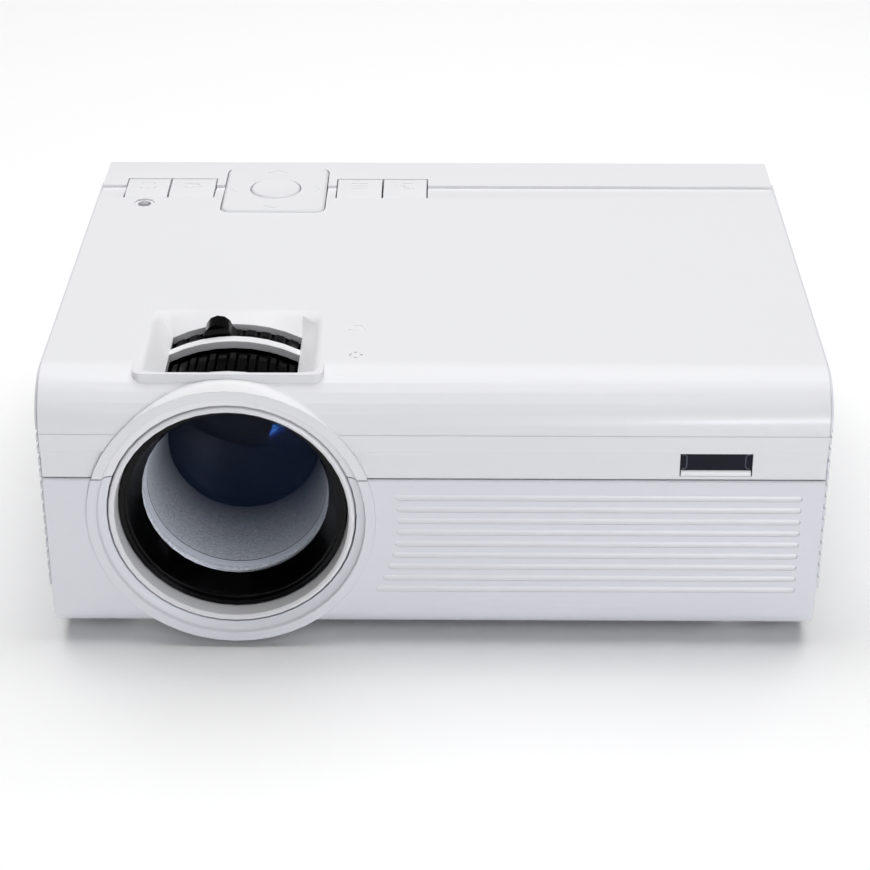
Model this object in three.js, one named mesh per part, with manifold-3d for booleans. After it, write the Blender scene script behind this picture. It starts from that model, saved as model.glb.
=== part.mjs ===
// Compact LED video projector. Millimetres, +Z up, the lens looks along -Y.
// Every piece is drawn in the case frame: X from the middle of the case, Y as depth behind the
// front face, Z as height above the underside. The lens pieces turn about an axis along Y.
import * as THREE from 'three';
import { mergeVertices } from 'three/addons/utils/BufferGeometryUtils.js';
import Module from 'manifold-3d';

const wasm = await Module();
wasm.setup();

// Gaps and cutting
const fit = 0.3;
const overrun = 1;
const mergeTolerance = 1e-4;

// Round stretches: number of straight steps
const flangeSteps = 48;
const ringSteps = 40;
const tubeSteps = 32;
const innerSteps = 24;
const rollSteps = 8;
const cornerSteps = 3;
const endSteps = 2;
const holeSteps = 16;
const smallSteps = 8;
const domeSteps = 4;

// Angles
const fullTurn = 360;
const halfTurn = 180;
const quarterTurn = 90;
const degrees = Math.PI / halfTurn;
const upperRight = 0;
const upperLeft = quarterTurn;
const lowerLeft = halfTurn;
const lowerRight = -quarterTurn;

// Case
const caseWidth = 199.4;
const caseDepth = 150;
const caseHeight = 74.6;
const wall = 2;
const rollRadius = 14;
const bottomRadius = 12;
const rearRadius = 2;
const skirtLedge = 0.2;
const skirtHeight = 4.9;
const bandHeight = 7.85;
const bandRecess = 0.6;
const seamChamfer = 0.35;
const sideX = caseWidth / 2;
const rollEnd = caseHeight - rollRadius;
const skirtLow = rollEnd - skirtHeight;
const seam = skirtLow - bandHeight;
const ceiling = caseHeight - wall;
const rearFace = caseDepth - wall;

// Finger trough across the top, in front of the rear edge
const troughFrontFromRear = 29.3;
const troughFront = caseDepth - troughFrontFromRear;
const troughFromRear = 20.1;
const troughRear = caseDepth - troughFromRear;
const troughDepth = 0.8;
const troughStepRun = 0.3;

// Feet
const footRadius = 5.5;
const footHeight = 3.1;
const footSeat = 0.8;
const footFromSide = 21.1;
const footX = sideX - footFromSide;
const footInset = 17.8;
const footRim = 0.8;

// Lens axis and the round flange of the case
const lensFromSide = 47.7;
const lensX = lensFromSide - sideX;
const lensBelowMiddle = 1.1;
const lensHeight = caseHeight / 2 - lensBelowMiddle;
const flangeMargin = 0.15;
const flangeRadius = caseHeight / 2 - flangeMargin;
const flangeProud = 0.6;
const flangeFaceWidth = 2.55;
const flangeWidth = 4.95;
const flangeBore = flangeRadius - flangeWidth;
const coveDepth = 1.9;
const collarDepth = 9.7;

// Lens barrel and its travel
const barrelMargin = 7.65;
const barrelRadius = flangeRadius - barrelMargin;
const barrelFront = 5;
const barrelLength = 43;
const barrelRim = 1.3;
const barrelStep = 0.8;
const barrelConeStep = 2.1;
const barrelConeRadius = barrelRadius - barrelConeStep;
const barrelMouthDepth = 8.4;
const barrelWall = 4.5;
const glassRadius = barrelRadius - barrelWall;
const barrelLip = 0.5;
const barrelMouth = glassRadius - barrelLip;
const focusTravel = 4;
const focusTurn = 60;
const followerRadius = 1.5;
const followerCount = 3;
const followerDepth = 12.5;
const followerAt = barrelFront + followerDepth;
const followerReach = 3;

// White trim ring inside the flange
const bezelRimDepth = 0.8;
const bezelRimWidth = 0.9;
const bezelRimTurn = 150;
const bezelConeDepth = 5;
const bezelBore = barrelRadius + fit;

// Glass elements and the silver cup between them
const frontGlassEdge = 3;
const frontGlassBulge = 4.6;
const cupLength = 22;
const cupTaper = 8;
const cupThroat = glassRadius - cupTaper;
const cupRimWidth = 0.7;
const rearGlassEdge = 2.4;
const rearGlassBulge = 1.8;
const lockRingLength = 3;
const lockRingWidth = 7;
const lockRingBore = glassRadius - lockRingWidth;

// Fixed lens tube
const tubeWall = 1.4;
const tubeLength = 40;
const tubeBore = barrelRadius + fit;
const tubeRadius = tubeBore + tubeWall;
const tubeStart = collarDepth + fit;
const tubeEnd = tubeStart + tubeLength;
const ringBore = tubeRadius + fit;
const tubeShoulderWall = 1.5;
const tubeShoulder = ringBore + tubeShoulderWall;
const plateThickness = 2.7;
const plateMargin = 4;
const plateInset = 11.3;
const plateWidth = 2 * (tubeShoulder + plateMargin);
const plateHeight = caseHeight - 2 * plateInset;

// Finger well over the two rings
const hoodSkin = 0.8;
const hoodRadius = caseHeight - hoodSkin - lensHeight;
const wellHalfWidth = 23;
const wellFront = 7.4;
const wellRear = 44.4;
const wellDepth = 7;
const wellSideRun = 6;
const wellFrontRun = 1.6;
const wellCorner = 4;
const wellRimWidth = 1.2;
const wellRollShare = 0.3;
const wellFloorSteps = 8;
const ribFront = 26.8;
const ribRear = 29.8;
const rearSlotEnd = 37;
const lipCorner = 2.6;
const wellSkin = 1.8;

// Focus ring
const hoodWall = 1.95;
const wheelRoom = hoodRadius - hoodWall;
const drumLength = 27.5;
const focusRingStart = 10;
const focusRingLength = 15;
const focusTipGap = 0.45;
const focusToothRadius = wheelRoom - focusTipGap;
const focusToothHeight = 1.2;
const focusRootRadius = focusToothRadius - focusToothHeight;
const focusToothPairs = 42;
const focusRibWidth = 1.5;
const focusPadWidth = 2.1;
const focusPadSetback = 1;
const camGrooveDepth = 1.6;
const camSteps = 10;

// Keystone ring, its knob and its cam
const keystoneStart = 30.2;
const keystoneLength = 6.5;
const keystoneEnd = keystoneStart + keystoneLength;
const keystoneHoodWall = 0.9;
const keystoneRoom = hoodRadius - keystoneHoodWall;
const keystoneTipGap = 0.5;
const keystoneToothRadius = keystoneRoom - keystoneTipGap;
const keystoneToothHeight = 0.8;
const keystoneRoot = keystoneToothRadius - keystoneToothHeight;
const keystoneHubWall = 1.9;
const keystoneHub = ringBore + keystoneHubWall;
const keystoneToothPitch = 3.9;
const keystoneToothShare = 0.5;
const keystoneSector = 60;
const knobTurn = 7;
const knobProud = 3.1;
const knobRadius = hoodRadius + knobProud;
const knobWidth = 10;
const knobCrown = 3.6;
const knobInset = 0.4;
const camProud = 1.8;
const camRadius = keystoneToothRadius + camProud;
const camRise = 2.94;
const camFrom = -26;
const camTo = 42;

// Small keys: left edge and width of each, seen from the front
const keyFrontFromRear = 29;
const keyFront = caseDepth - keyFrontFromRear;
const keyFromRear = 15.1;
const keyRear = caseDepth - keyFromRear;
const keyGap = 0.35;
const keyTravel = 0.8;
const keyFacetRun = 3;
const keyFacetDrop = 0.8;
const keyTab = 1.5;
const keyTabThickness = 1.6;
const keyStem = 3;
const keyStemLength = 1.4;
const powerKeyFromSide = 7.4;
const powerKeyLeft = powerKeyFromSide - sideX;
const powerKeyWidth = 12.5;
const backKeyFromSide = 20.4;
const backKeyLeft = backKeyFromSide - sideX;
const backKeyWidth = 13.2;
const menuKeyFromSide = 70.1;
const menuKeyLeft = menuKeyFromSide - sideX;
const menuKeyWidth = 13.2;
const sourceKeyFromSide = 83.8;
const sourceKeyLeft = sourceKeyFromSide - sideX;
const sourceKeyWidth = 12.8;
const tabTop = ceiling - fit;
const tabLow = tabTop - keyTabThickness;
const stemLow = tabLow - keyStemLength;

// Key board and its switches
const boardThickness = 1.6;
const keyBoardFromSide = 3.7;
const keyBoardLeft = keyBoardFromSide - sideX;
const keyBoardWidth = 96;
const keyBoardRight = keyBoardLeft + keyBoardWidth;
const keyBoardFrontFromRear = 43.5;
const keyBoardFront = caseDepth - keyBoardFrontFromRear;
const keyBoardFromRear = 4;
const keyBoardRear = caseDepth - keyBoardFromRear;
const switchSize = 6;
const switchHeight = 3.2;
const switchGap = 0.2;
const switchTop = stemLow - keyTravel - switchGap;
const keyBoardTop = switchTop - switchHeight;
const keyBoardLow = keyBoardTop - boardThickness;
const boardPostRadius = 2.2;

// Navigation tile, its pivot ring and the round key in its middle
const navFromSide = 51.85;
const navX = navFromSide - sideX;
const navWidth = 30.1;
const navFrontFromRear = 40.1;
const navFront = caseDepth - navFrontFromRear;
const navFromRear = 7;
const navRear = caseDepth - navFromRear;
const navMiddle = (navFront + navRear) / 2;
const navCorner = 3;
const navProud = 0.5;
const navThickness = 4;
const navLow = caseHeight + navProud - navThickness;
const navBevel = 0.6;
const pivotRingBore = 10;
const pivotRingRadius = 12.2;
const pivotRingHeight = 2.2;
const pivotMiddle = keyBoardTop + pivotRingHeight + 2 * fit;
const pivotPinRadius = 0.9;
const pivotPinLength = 2.2;
const pivotLug = 1.8;
const okRadius = 7.3;
const okProud = 0.9;
const okFlange = 8.7;
const okFlangeThickness = 1.1;
const okDish = 0.5;
const okDishRadius = 5.6;

// Status light
const statusFromSide = 13.9;
const statusX = statusFromSide - sideX;
const statusFromRear = 33.2;
const statusDepth = caseDepth - statusFromRear;
const statusRadius = 1.7;
const statusProud = 0.5;
const statusDish = 0.4;
const statusDishRadius = 3;

// Infrared window in the band
const irFromSide = 28;
const irX = sideX - irFromSide;
const irWidth = 17.8;
const irSill = 0.9;
const irSetback = 0.5;
const irThickness = 2.4;
const irSensorWidth = 6;
const irSensorDepth = 4;

// Decorative grooves on the front
const grooveCount = 9;
const grooveFromSeam = 5.25;
const grooveTop = seam - grooveFromSeam;
const grooveFromRoll = 3.24;
const grooveLow = bottomRadius + grooveFromRoll;
const groovePitch = (grooveTop - grooveLow) / (grooveCount - 1);
const grooveShare = 0.5;
const grooveHeight = groovePitch * grooveShare;
const grooveDepth = 0.7;
const grooveFromSide = 5.5;
const grooveRight = sideX - grooveFromSide;
const grooveFlangeGap = 5.55;
const grooveArc = flangeRadius + grooveFlangeGap;

// Side panels with louvres
const panelProud = 0.9;
const panelInset = 1.6;
const panelLap = 2.2;
const panelFromRear = 13;
const panelRear = caseDepth - panelFromRear;
const panelBottom = 14.4;
const panelCorner = 1.5;
const louvreCount = 13;
const louvreFromTop = 14.2;
const louvreTop = caseHeight - louvreFromTop;
const louvreBorder = 4.5;
const louvreLow = panelBottom + louvreBorder;
const louvrePitch = (louvreTop - louvreLow) / (louvreCount - 1);
const louvreShare = 0.4;
const louvreGap = louvrePitch * louvreShare;
const louvreRearBorder = 10;
const ventBankShares = [[0.08, 0.44], [0.5, 0.88]];

// Input board behind the rear panel
const inputBoardHeight = 16;
const inputBoardLength = 13.5;
const inputBoardFromSide = 21.7;
const inputBoardLeft = inputBoardFromSide - sideX;
const inputBoardWidth = 86;
const inputBoardRight = inputBoardLeft + inputBoardWidth;
const inputBoardTop = inputBoardHeight + boardThickness;

// Rear panel and its sockets
const rearPanelFromSide = 11.7;
const rearPanelHalf = sideX - rearPanelFromSide;
const rearPanelLow = 12;
const rearPanelFromTop = 14.6;
const rearPanelHigh = caseHeight - rearPanelFromTop;
const rearPanelLap = 2;
const rearPanelCorner = 2;
const socketDepth = 12;
const socketWall = 0.8;
const hdmiFromSide = 93.7;
const hdmiX = hdmiFromSide - sideX;
const hdmiWidth = 15;
const hdmiHeight = 5.6;
const hdmiTongueShare = 0.25;
const usbFromSide = 69.7;
const usbX = usbFromSide - sideX;
const usbWidth = 14.4;
const usbHeight = 7;
const usbTongueShare = 0.3;
const cardFromSide = 47.7;
const cardX = cardFromSide - sideX;
const cardWidth = 14;
const cardHeight = 2.6;
const audioFromSide = 29.7;
const audioX = audioFromSide - sideX;
const audioRadius = 3;
const audioBore = 1.75;
const inletFromSide = 37.7;
const inletX = sideX - inletFromSide;
const inletHeight = 28;
const inletWidth = 21;
const inletTall = 11.6;
const inletWall = 1.6;
const inletDepth = 16;
const inletPinRadius = 1.2;
const inletPinPitch = 8.6;
const inletFlange = 2;
const rearVentCount = 8;
const rearVentSill = 16;
const rearVentLow = inputBoardHeight + rearVentSill;
const rearVentBorder = 2.6;
const rearVentHigh = rearPanelHigh - rearVentBorder;
const rearVentShare = 0.47;
const rearVentPitch = (rearVentHigh - rearVentLow) / (rearVentCount - 1 + rearVentShare);
const rearVentWidth = 52;
const rearVentFromSide = 59.7;
const rearVentX = rearVentFromSide - sideX;

// Optical box behind the lens
const boxWall = 2;
const boxFront = tubeEnd + plateThickness + fit;
const boxFromRear = 19;
const boxRear = caseDepth - boxFromRear;
const boxLength = boxRear - boxFront;
const boxLeftFromSide = 9.7;
const boxLeft = boxLeftFromSide - sideX;
const boxRightFromSide = 47.7;
const boxRight = sideX - boxRightFromSide;
const boxLow = 8;
const boxFromTop = 16.3;
const boxHigh = caseHeight - boxFromTop;
const lidThickness = 2;
const beamDepth = (boxFront + boxRear) / 2;

// Picture panel and its tilting carrier. Each place between the lens axis and the lamp is a share
// of the way along the beam.
const beamLength = boxRight - lensX;
const carrierShare = 0.577;
const carrierX = lensX + beamLength * carrierShare;
const carrierThickness = 4;
const carrierEndGap = 4;
const carrierLength = boxLength - 2 * carrierEndGap;
const carrierTopGap = 1.1;
const carrierTall = 2 * (boxHigh - lensHeight - carrierTopGap);
const carrierBorder = 5;
const pictureLength = carrierLength - 2 * carrierBorder;
const pictureTall = carrierTall - 2 * carrierBorder;
const panelThickness = 1.6;
const panelMargin = 2;
const hingeRadius = 1.5;
const hingeAboveFoot = 1.8;
const hingeHeight = lensHeight - carrierTall / 2 + hingeAboveFoot;
const armThickness = 3;
const armHeight = 4;
const armTipHeight = 3;
const camGap = 0.4;

// Mirror and lenses of the optical box
const mirrorTurn = 45;
const mirrorRoom = Math.min(boxLength / 2, lensX - boxLeft);
const mirrorLength = 2 * mirrorRoom;
const mirrorTall = carrierTall;
const mirrorThickness = 2;
const lightPortBorder = 2.6;
const lightPort = carrierTall / 2 - lightPortBorder;
const fresnelThickness = 1.8;
const fieldFresnelShare = 0.49;
const collimatorShare = 0.692;
const condenserThickness = 7;
const condenserEdge = 1.6;

// Lamp, heat sink and fan
const postRadius = 2.8;
const sinkBase = 4;
const sinkInset = 5;
const sinkLength = carrierLength - 2 * sinkInset;
const sinkOverlap = 2;
const sinkTall = carrierTall + 2 * sinkOverlap;
const finCount = 9;
const finThickness = 1.4;
const finReach = 19;
const lampBoardLength = sinkLength / 2;
const lampBoardTall = sinkTall - 6 * postRadius - 2 * fit;
const lampSize = 12;
const lampProud = 1.4;
const fanMargin = 7.3;
const fanSize = caseHeight - 2 * fanMargin;
const fanThickness = 15;
const fanGap = 1.5;
const fanRim = 2;
const fanBore = fanSize / 2 - fanRim;
const fanHub = 13;
const fanBlades = 7;
const fanBladeThickness = 1.6;
const fanBladePitch = 38;
const fanClearance = 0.8;
const fanSpindle = 2.4;
const fanArm = 2.6;
const fanArmCount = 3;
const sinkFront = boxRight + fit + lampProud + boardThickness + fit;
const fanLeft = sinkFront + sinkBase + finReach + fanGap;

// Boards and loudspeaker in the front right of the case
const mainBoardFromLens = 44;
const mainBoardLeft = lensX + mainBoardFromLens;
const boardFanGap = 2.1;
const mainBoardRight = fanLeft - boardFanGap;
const mainBoardFront = 5;
const boardBoxGap = 3;
const mainBoardRear = boxFront - boardBoxGap;
const mainBoardBelowSeam = 1.35;
const mainBoardHeight = seam - mainBoardBelowSeam;
const chipSize = 16;
const chipHeight = 1.6;
const powerBoardFromLens = 66;
const powerBoardLeft = lensX + powerBoardFromLens;
const powerBoardSetback = 8;
const powerBoardRight = mainBoardRight - powerBoardSetback;
const powerBoardFront = 21;
const powerBoardHeight = 7.7;
const coilWidth = 22;
const coilHeight = 17;
const capRadius = 5.5;
const capHeight = 18;
const speakerFromSide = 54.7;
const speakerX = sideX - speakerFromSide;
const speakerAboveRoll = 1.5;
const speakerLow = bottomRadius + speakerAboveRoll;
const speakerBelowBoard = 3;
const speakerHigh = mainBoardHeight - speakerBelowBoard;
const speakerHeight = (speakerLow + speakerHigh) / 2;
const speakerRadius = (speakerHigh - speakerLow) / 2;
const speakerDepth = 13;
const speakerFront = wall + bandRecess + fit;
const magnetShare = 0.6;
const magnetRadius = speakerRadius * magnetShare;

// Case screws and tripod bush
const screwFromSide = 6.2;
const screwX = sideX - screwFromSide;
const screwFrontInset = 32;
const screwRearInset = 10;
const screwSplit = 30;
const screwHeadRadius = 2.2;
const screwHeadHeight = 1.8;
const screwRadius = 1.2;
const screwLength = 34;
const screwSink = 1.2;
const screwPost = 2.9;
const bushDepth = caseDepth / 2;
const bushRadius = 5.6;
const bushBore = 3.2;
const bushHeight = 5.2;
const bushBoss = 7.6;

// Underside air slots
const floorVentCount = 8;
const floorVentPitch = 5;
const floorVentWidth = 2;
const floorVentInset = 17;
const floorVentFromSide = 37.7;
const floorVentX = sideX - floorVentFromSide;

// Two-dimensional point
const at = (x, y) => new THREE.Vector2(x, y);

// Points of an arc about (cx, cy), with its angles in degrees
function arc(cx, cy, radius, from, to, steps) {
  return Array.from({ length: steps + 1 }, (_, i) => {
    const angle = (from + (to - from) * i / steps) * degrees;
    return at(cx + radius * Math.cos(angle), cy + radius * Math.sin(angle));
  });
}

// Points of a quarter circle, counter-clockwise, in one of the four corners
function corner(cx, cy, radius, from, steps = cornerSteps) {
  return arc(cx, cy, radius, from, from + quarterTurn, steps);
}

// Points of a full circle
function circle(cx, cy, radius, steps = holeSteps) {
  return arc(cx, cy, radius, 0, fullTurn * (1 - 1 / steps), steps - 1);
}

// Points of a rectangle with round corners
function roundRect(x0, x1, y0, y1, radius, steps = cornerSteps) {
  return [
    ...corner(x1 - radius, y0 + radius, radius, lowerRight, steps),
    ...corner(x1 - radius, y1 - radius, radius, upperRight, steps),
    ...corner(x0 + radius, y1 - radius, radius, upperLeft, steps),
    ...corner(x0 + radius, y0 + radius, radius, lowerLeft, steps),
  ];
}

// Points of a plain rectangle
function rect(x0, x1, y0, y1) {
  return [at(x0, y0), at(x1, y0), at(x1, y1), at(x0, y1)];
}

// A closed three.js geometry as a solid that can be joined and cut
function solidOf(geometry) {
  const bare = geometry.index ? geometry.toNonIndexed() : geometry.clone();
  bare.deleteAttribute('normal');
  bare.deleteAttribute('uv');
  const merged = mergeVertices(bare, mergeTolerance);
  const places = merged.attributes.position.array;
  const ids = merged.index.array;
  const kept = [];
  let volume = 0;
  const a = new THREE.Vector3();
  const b = new THREE.Vector3();
  const c = new THREE.Vector3();
  for (let i = 0; i < ids.length; i += 3) {
    const [p, q, r] = [ids[i], ids[i + 1], ids[i + 2]];
    if (p === q || q === r || r === p) continue;
    kept.push([p, q, r]);
    a.fromArray(places, 3 * p);
    b.fromArray(places, 3 * q);
    c.fromArray(places, 3 * r);
    volume += a.dot(b.cross(c));
  }
  const facing = volume < 0 ? kept.map(([p, q, r]) => [p, r, q]) : kept;
  return new wasm.Manifold(new wasm.Mesh({
    numProp: 3,
    vertProperties: places,
    triVerts: new Uint32Array(facing.flat()),
  }));
}

// A solid as a three.js geometry
function geometryOf(solid) {
  const { vertProperties, triVerts } = solid.getMesh();
  const geometry = new THREE.BufferGeometry();
  geometry.setAttribute('position', new THREE.BufferAttribute(new Float32Array(vertProperties), 3));
  geometry.setIndex(new THREE.BufferAttribute(new Uint32Array(triVerts), 1));
  const flat = geometry.toNonIndexed();
  flat.computeVertexNormals();
  return flat;
}

const xAxis = new THREE.Vector3(1, 0, 0);
const yAxis = new THREE.Vector3(0, 1, 0);
const zAxis = new THREE.Vector3(0, 0, 1);
const sideways = new THREE.Matrix4().makeBasis(yAxis, zAxis, xAxis);
const forwards = new THREE.Matrix4().makeBasis(xAxis, zAxis, yAxis.clone().negate());

// An outline extruded between two places on its own third axis
function extruded(points, from, to) {
  const shape = new THREE.Shape(points);
  const geometry = new THREE.ExtrudeGeometry(shape, { depth: to - from, bevelEnabled: false });
  return geometry.translate(0, 0, from);
}

// Outline in depth and height, run across the case from x0 to x1
function prismX(points, x0, x1) {
  return solidOf(extruded(points, x0, x1).applyMatrix4(sideways));
}

// Outline in width and height, run back from depth y0 to y1
function prismY(points, y0, y1) {
  return solidOf(extruded(points, -y1, -y0).applyMatrix4(forwards));
}

// Outline in width and depth, run up from z0 to z1
function prismZ(points, z0, z1) {
  return solidOf(extruded(points, z0, z1));
}

function block(x0, x1, y0, y1, z0, z1) {
  return prismZ(rect(x0, x1, y0, y1), z0, z1);
}

// A profile of radius and depth, turned about an axis along Y
function turned(profile, steps = ringSteps) {
  return solidOf(new THREE.LatheGeometry(profile.map(([r, y]) => at(r, y)), steps));
}

// The same, for a ring that doesn't reach its axis
function turnedRing(profile, steps = ringSteps) {
  return turned([...profile, profile[0]], steps);
}

// A profile of radius and height, turned about an upright axis
function turnedUp(profile, x, y, steps = holeSteps) {
  const geometry = new THREE.LatheGeometry(profile.map(([r, z]) => at(r, z)), steps);
  return solidOf(geometry.rotateX(quarterTurn * degrees).translate(x, y, 0));
}

// A skin over rings of points that all have the same count, with flat ends
function loft(rings) {
  const count = rings[0].length;
  const index = [];
  for (let k = 0; k + 1 < rings.length; k += 1) {
    for (let i = 0; i < count; i += 1) {
      const a = k * count + i;
      const b = k * count + (i + 1) % count;
      index.push(a, b, b + count, a, b + count, a + count);
    }
  }
  const last = (rings.length - 1) * count;
  for (let i = 1; i + 1 < count; i += 1) {
    index.push(0, i + 1, i, last, last + i, last + i + 1);
  }
  const geometry = new THREE.BufferGeometry();
  geometry.setAttribute('position', new THREE.Float32BufferAttribute(rings.flat(2), 3));
  return solidOf(geometry.setIndex(index));
}

// Joins a list of solids
function joined(solids) {
  return solids.reduce((sum, next) => sum.add(next));
}

// Cuts a list of solids from one
function cut(solid, cutters) {
  return cutters.reduce((left, next) => left.subtract(next), solid);
}

// Moves a solid drawn about the lens axis into the case frame
function atLens(solid) {
  return solidOf(geometryOf(solid).translate(lensX, 0, lensHeight));
}

// Materials
function plastic(color, roughness) {
  return new THREE.MeshStandardMaterial({ color, roughness, metalness: 0 });
}

function metal(color, roughness) {
  return new THREE.MeshStandardMaterial({ color, roughness, metalness: 1 });
}

function clear(color, opacity) {
  return new THREE.MeshStandardMaterial({ color, opacity, roughness: 0.05, metalness: 0, transparent: true });
}

const whiteShell = plastic(0xeeeef0, 0.35);
const blackPlastic = plastic(0x141416, 0.4);
const darkPlastic = plastic(0x2a2a2e, 0.6);
const rubber = plastic(0xd9d9d6, 0.8);
const silverPaint = metal(0xa4a8b0, 0.45);
const aluminium = metal(0xb9bcc0, 0.4);
const brass = metal(0xb89a56, 0.35);
const steel = metal(0x8b8e92, 0.35);
const mirrorFilm = metal(0xe8ecf0, 0.05);
const boardGreen = plastic(0x1f5a3a, 0.6);
const coatedGlass = clear(0x9fb4e0, 0.35);
const smokedWindow = clear(0x1a1420, 0.85);
const lampYellow = plastic(0xe8d23c, 0.4);
const lightPipe = clear(0xb8b8bc, 0.7);

const projector = new THREE.Group();
const caseFrame = new THREE.Group();
caseFrame.position.set(0, -(caseDepth - flangeProud) / 2, footHeight);
projector.add(caseFrame);

// Adds one named piece, given in the case frame
function piece(name, solid, material) {
  const mesh = new THREE.Mesh(geometryOf(solid), material);
  mesh.name = name;
  caseFrame.add(mesh);
}

// Outlines of the case, in depth and height
function outerOutline() {
  const roll = rollRadius - skirtLedge;
  return [
    ...corner(bottomRadius, bottomRadius, bottomRadius, lowerLeft, rollSteps),
    ...corner(caseDepth - rearRadius, rearRadius, rearRadius, lowerRight),
    ...corner(caseDepth - rearRadius, caseHeight - rearRadius, rearRadius, upperRight),
    at(troughRear + troughStepRun, caseHeight),
    at(troughRear, caseHeight - troughDepth),
    at(troughFront, caseHeight),
    ...corner(rollRadius, caseHeight - roll, roll, upperLeft, rollSteps),
    at(skirtLedge, rollEnd),
    at(0, rollEnd),
    at(0, skirtLow),
    at(bandRecess, skirtLow),
    at(bandRecess, seam),
    at(0, seam),
  ];
}

function innerOutline() {
  const front = wall + bandRecess;
  const low = bottomRadius - wall;
  const high = rollRadius - front;
  const rear = rearRadius / 2;
  return [
    ...corner(front + low, wall + low, low, lowerLeft, rollSteps),
    ...corner(rearFace - rear, wall + rear, rear, lowerRight),
    ...corner(rearFace - rear, ceiling - rear, rear, upperRight),
    ...corner(front + high, ceiling - high, high, upperLeft, rollSteps),
  ];
}

function caseShell() {
  const outer = prismX(outerOutline(), -sideX, sideX);
  return outer.subtract(prismX(innerOutline(), wall - sideX, sideX - wall));
}

// Round flange, collar and the drum that houses the focus ring, before they are bored
function lensDrum() {
  return atLens(turned([[0, -flangeProud], [flangeRadius, -flangeProud], [flangeRadius, drumLength],
    [0, drumLength]], flangeSteps));
}

// Everything that the lens needs free: cove, bore and the focus ring's room
function lensBore() {
  const face = flangeRadius - flangeFaceWidth;
  const cove = corner(0, 0, 1, upperRight).map((p) => [
    flangeBore + (face - flangeBore) * p.x,
    coveDepth * p.y - flangeProud,
  ]);
  return atLens(turned([
    [0, -flangeProud - overrun],
    [face, -flangeProud - overrun],
    ...cove,
    [flangeBore, collarDepth],
    [wheelRoom, collarDepth],
    [wheelRoom, drumLength + overrun],
    [0, drumLength + overrun],
  ], flangeSteps));
}

// Height of the hood over the rings, at a place across the case
function hoodHeight(x, radius) {
  const off = Math.min(Math.abs(x - lensX), radius);
  return lensHeight + Math.sqrt(radius * radius - off * off);
}

// Shares of the run and of the drop down a wall of the well: a round brow, then a straight slope
const wellSlope = [0, wellRollShare / 2, wellRollShare, 1].map((run) => {
  const rest = 2 - wellRollShare;
  return [run, run < wellRollShare ? run * run / wellRollShare / rest : (2 * run - wellRollShare) / rest];
});

// Finger well: sections across the case, from rim to rim. Its floor is the hood, its sides and
// rear slope down from the flat top, and grow makes the skin that holds it.
function fingerWell(grow, top) {
  const left = lensX - wellHalfWidth - grow;
  const right = lensX + wellHalfWidth + grow;
  const innerLeft = lensX - wellHalfWidth + wellSideRun;
  const innerRight = lensX + wellHalfWidth - wellSideRun;
  const shoulder = Math.min(top, caseHeight - grow);
  const section = (x, share) => {
    const edge = Math.min(x - left, right - x);
    const short = Math.max(wellCorner - edge, 0);
    const turn = wellCorner - Math.sqrt(wellCorner * wellCorner - short * short);
    const front = wellFront - grow / 2 + turn;
    const rear = wellRear + grow - turn;
    const hood = hoodHeight(Math.max(innerLeft, Math.min(innerRight, x)), hoodRadius - grow);
    const drop = (shoulder - hood) * share;
    return [
      [x, front, top + overrun],
      [x, rear, top + overrun],
      ...wellSlope.map(([run, fall]) => [x, rear - (rear - rearSlotEnd) * run, shoulder - drop * fall]),
      [x, front + wellFrontRun * share, shoulder - drop],
      [x, front, shoulder],
    ];
  };
  const floor = Array.from({ length: wellFloorSteps - 1 }, (_, i) =>
    innerLeft + (innerRight - innerLeft) * (i + 1) / wellFloorSteps);
  return loft([
    ...wellSlope.map(([run, fall]) => section(left + (innerLeft - left) * run, fall)),
    ...floor.map((x) => section(x, 1)),
    ...wellSlope.map(([run, fall]) => section(right - (right - innerRight) * run, fall)).reverse(),
  ]);
}

// Raised lip that frames the well where the front roll falls away
function wellLip() {
  const half = wellHalfWidth + wellRimWidth;
  const outline = roundRect(lensX - half, lensX + half, wellFront - wellRimWidth, rollRadius + overrun,
    lipCorner);
  return prismZ(outline, caseHeight - wellDepth, caseHeight);
}

function slotOver(y0, y1) {
  const half = wellHalfWidth - wellSideRun;
  return block(lensX - half, lensX + half, y0, y1, rollEnd, caseHeight);
}

// Outline of a side panel in depth and height, or of the part of it that enters the wall
function panelOutline(inset) {
  const front = panelInset + inset;
  const rear = panelRear - inset;
  const low = panelBottom + inset;
  const high = caseHeight - panelInset - inset;
  const roll = rollRadius - panelInset - inset;
  const small = panelCorner;
  return [
    ...corner(front + small, low + small, small, lowerLeft),
    ...corner(rear - small, low + small, small, lowerRight),
    ...corner(rear - small, high - small, small, upperRight),
    ...corner(front + roll, high - roll, roll, upperLeft, rollSteps),
  ];
}

function panelOpenings() {
  const outline = panelOutline(panelLap - fit);
  return [
    prismX(outline, sideX - wall - overrun, sideX + overrun),
    prismX(outline, -sideX - overrun, wall + overrun - sideX),
  ];
}

function rearPanelOutline(grow) {
  return roundRect(-rearPanelHalf - grow, rearPanelHalf + grow, rearPanelLow - grow, rearPanelHigh + grow,
    rearPanelCorner);
}

function rearOpening() {
  return prismY(rearPanelOutline(fit), rearFace - overrun, caseDepth + overrun);
}

const screwPlaces = [
  ['front_left', -screwX, screwFrontInset],
  ['front_right', screwX, screwFrontInset],
  ['rear_left', -screwX, caseDepth - screwRearInset],
  ['rear_right', screwX, caseDepth - screwRearInset],
];

function rodZ(x, y, radius, z0, z1, steps = smallSteps) {
  return prismZ(circle(x, y, radius, steps), z0, z1);
}

const boardPosts = [
  [keyBoardLeft + boardPostRadius + fit, keyBoardFront + boardPostRadius],
  [keyBoardRight - boardPostRadius, keyBoardFront + boardPostRadius],
  [keyBoardRight - boardPostRadius, keyBoardRear - boardPostRadius],
];

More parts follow.
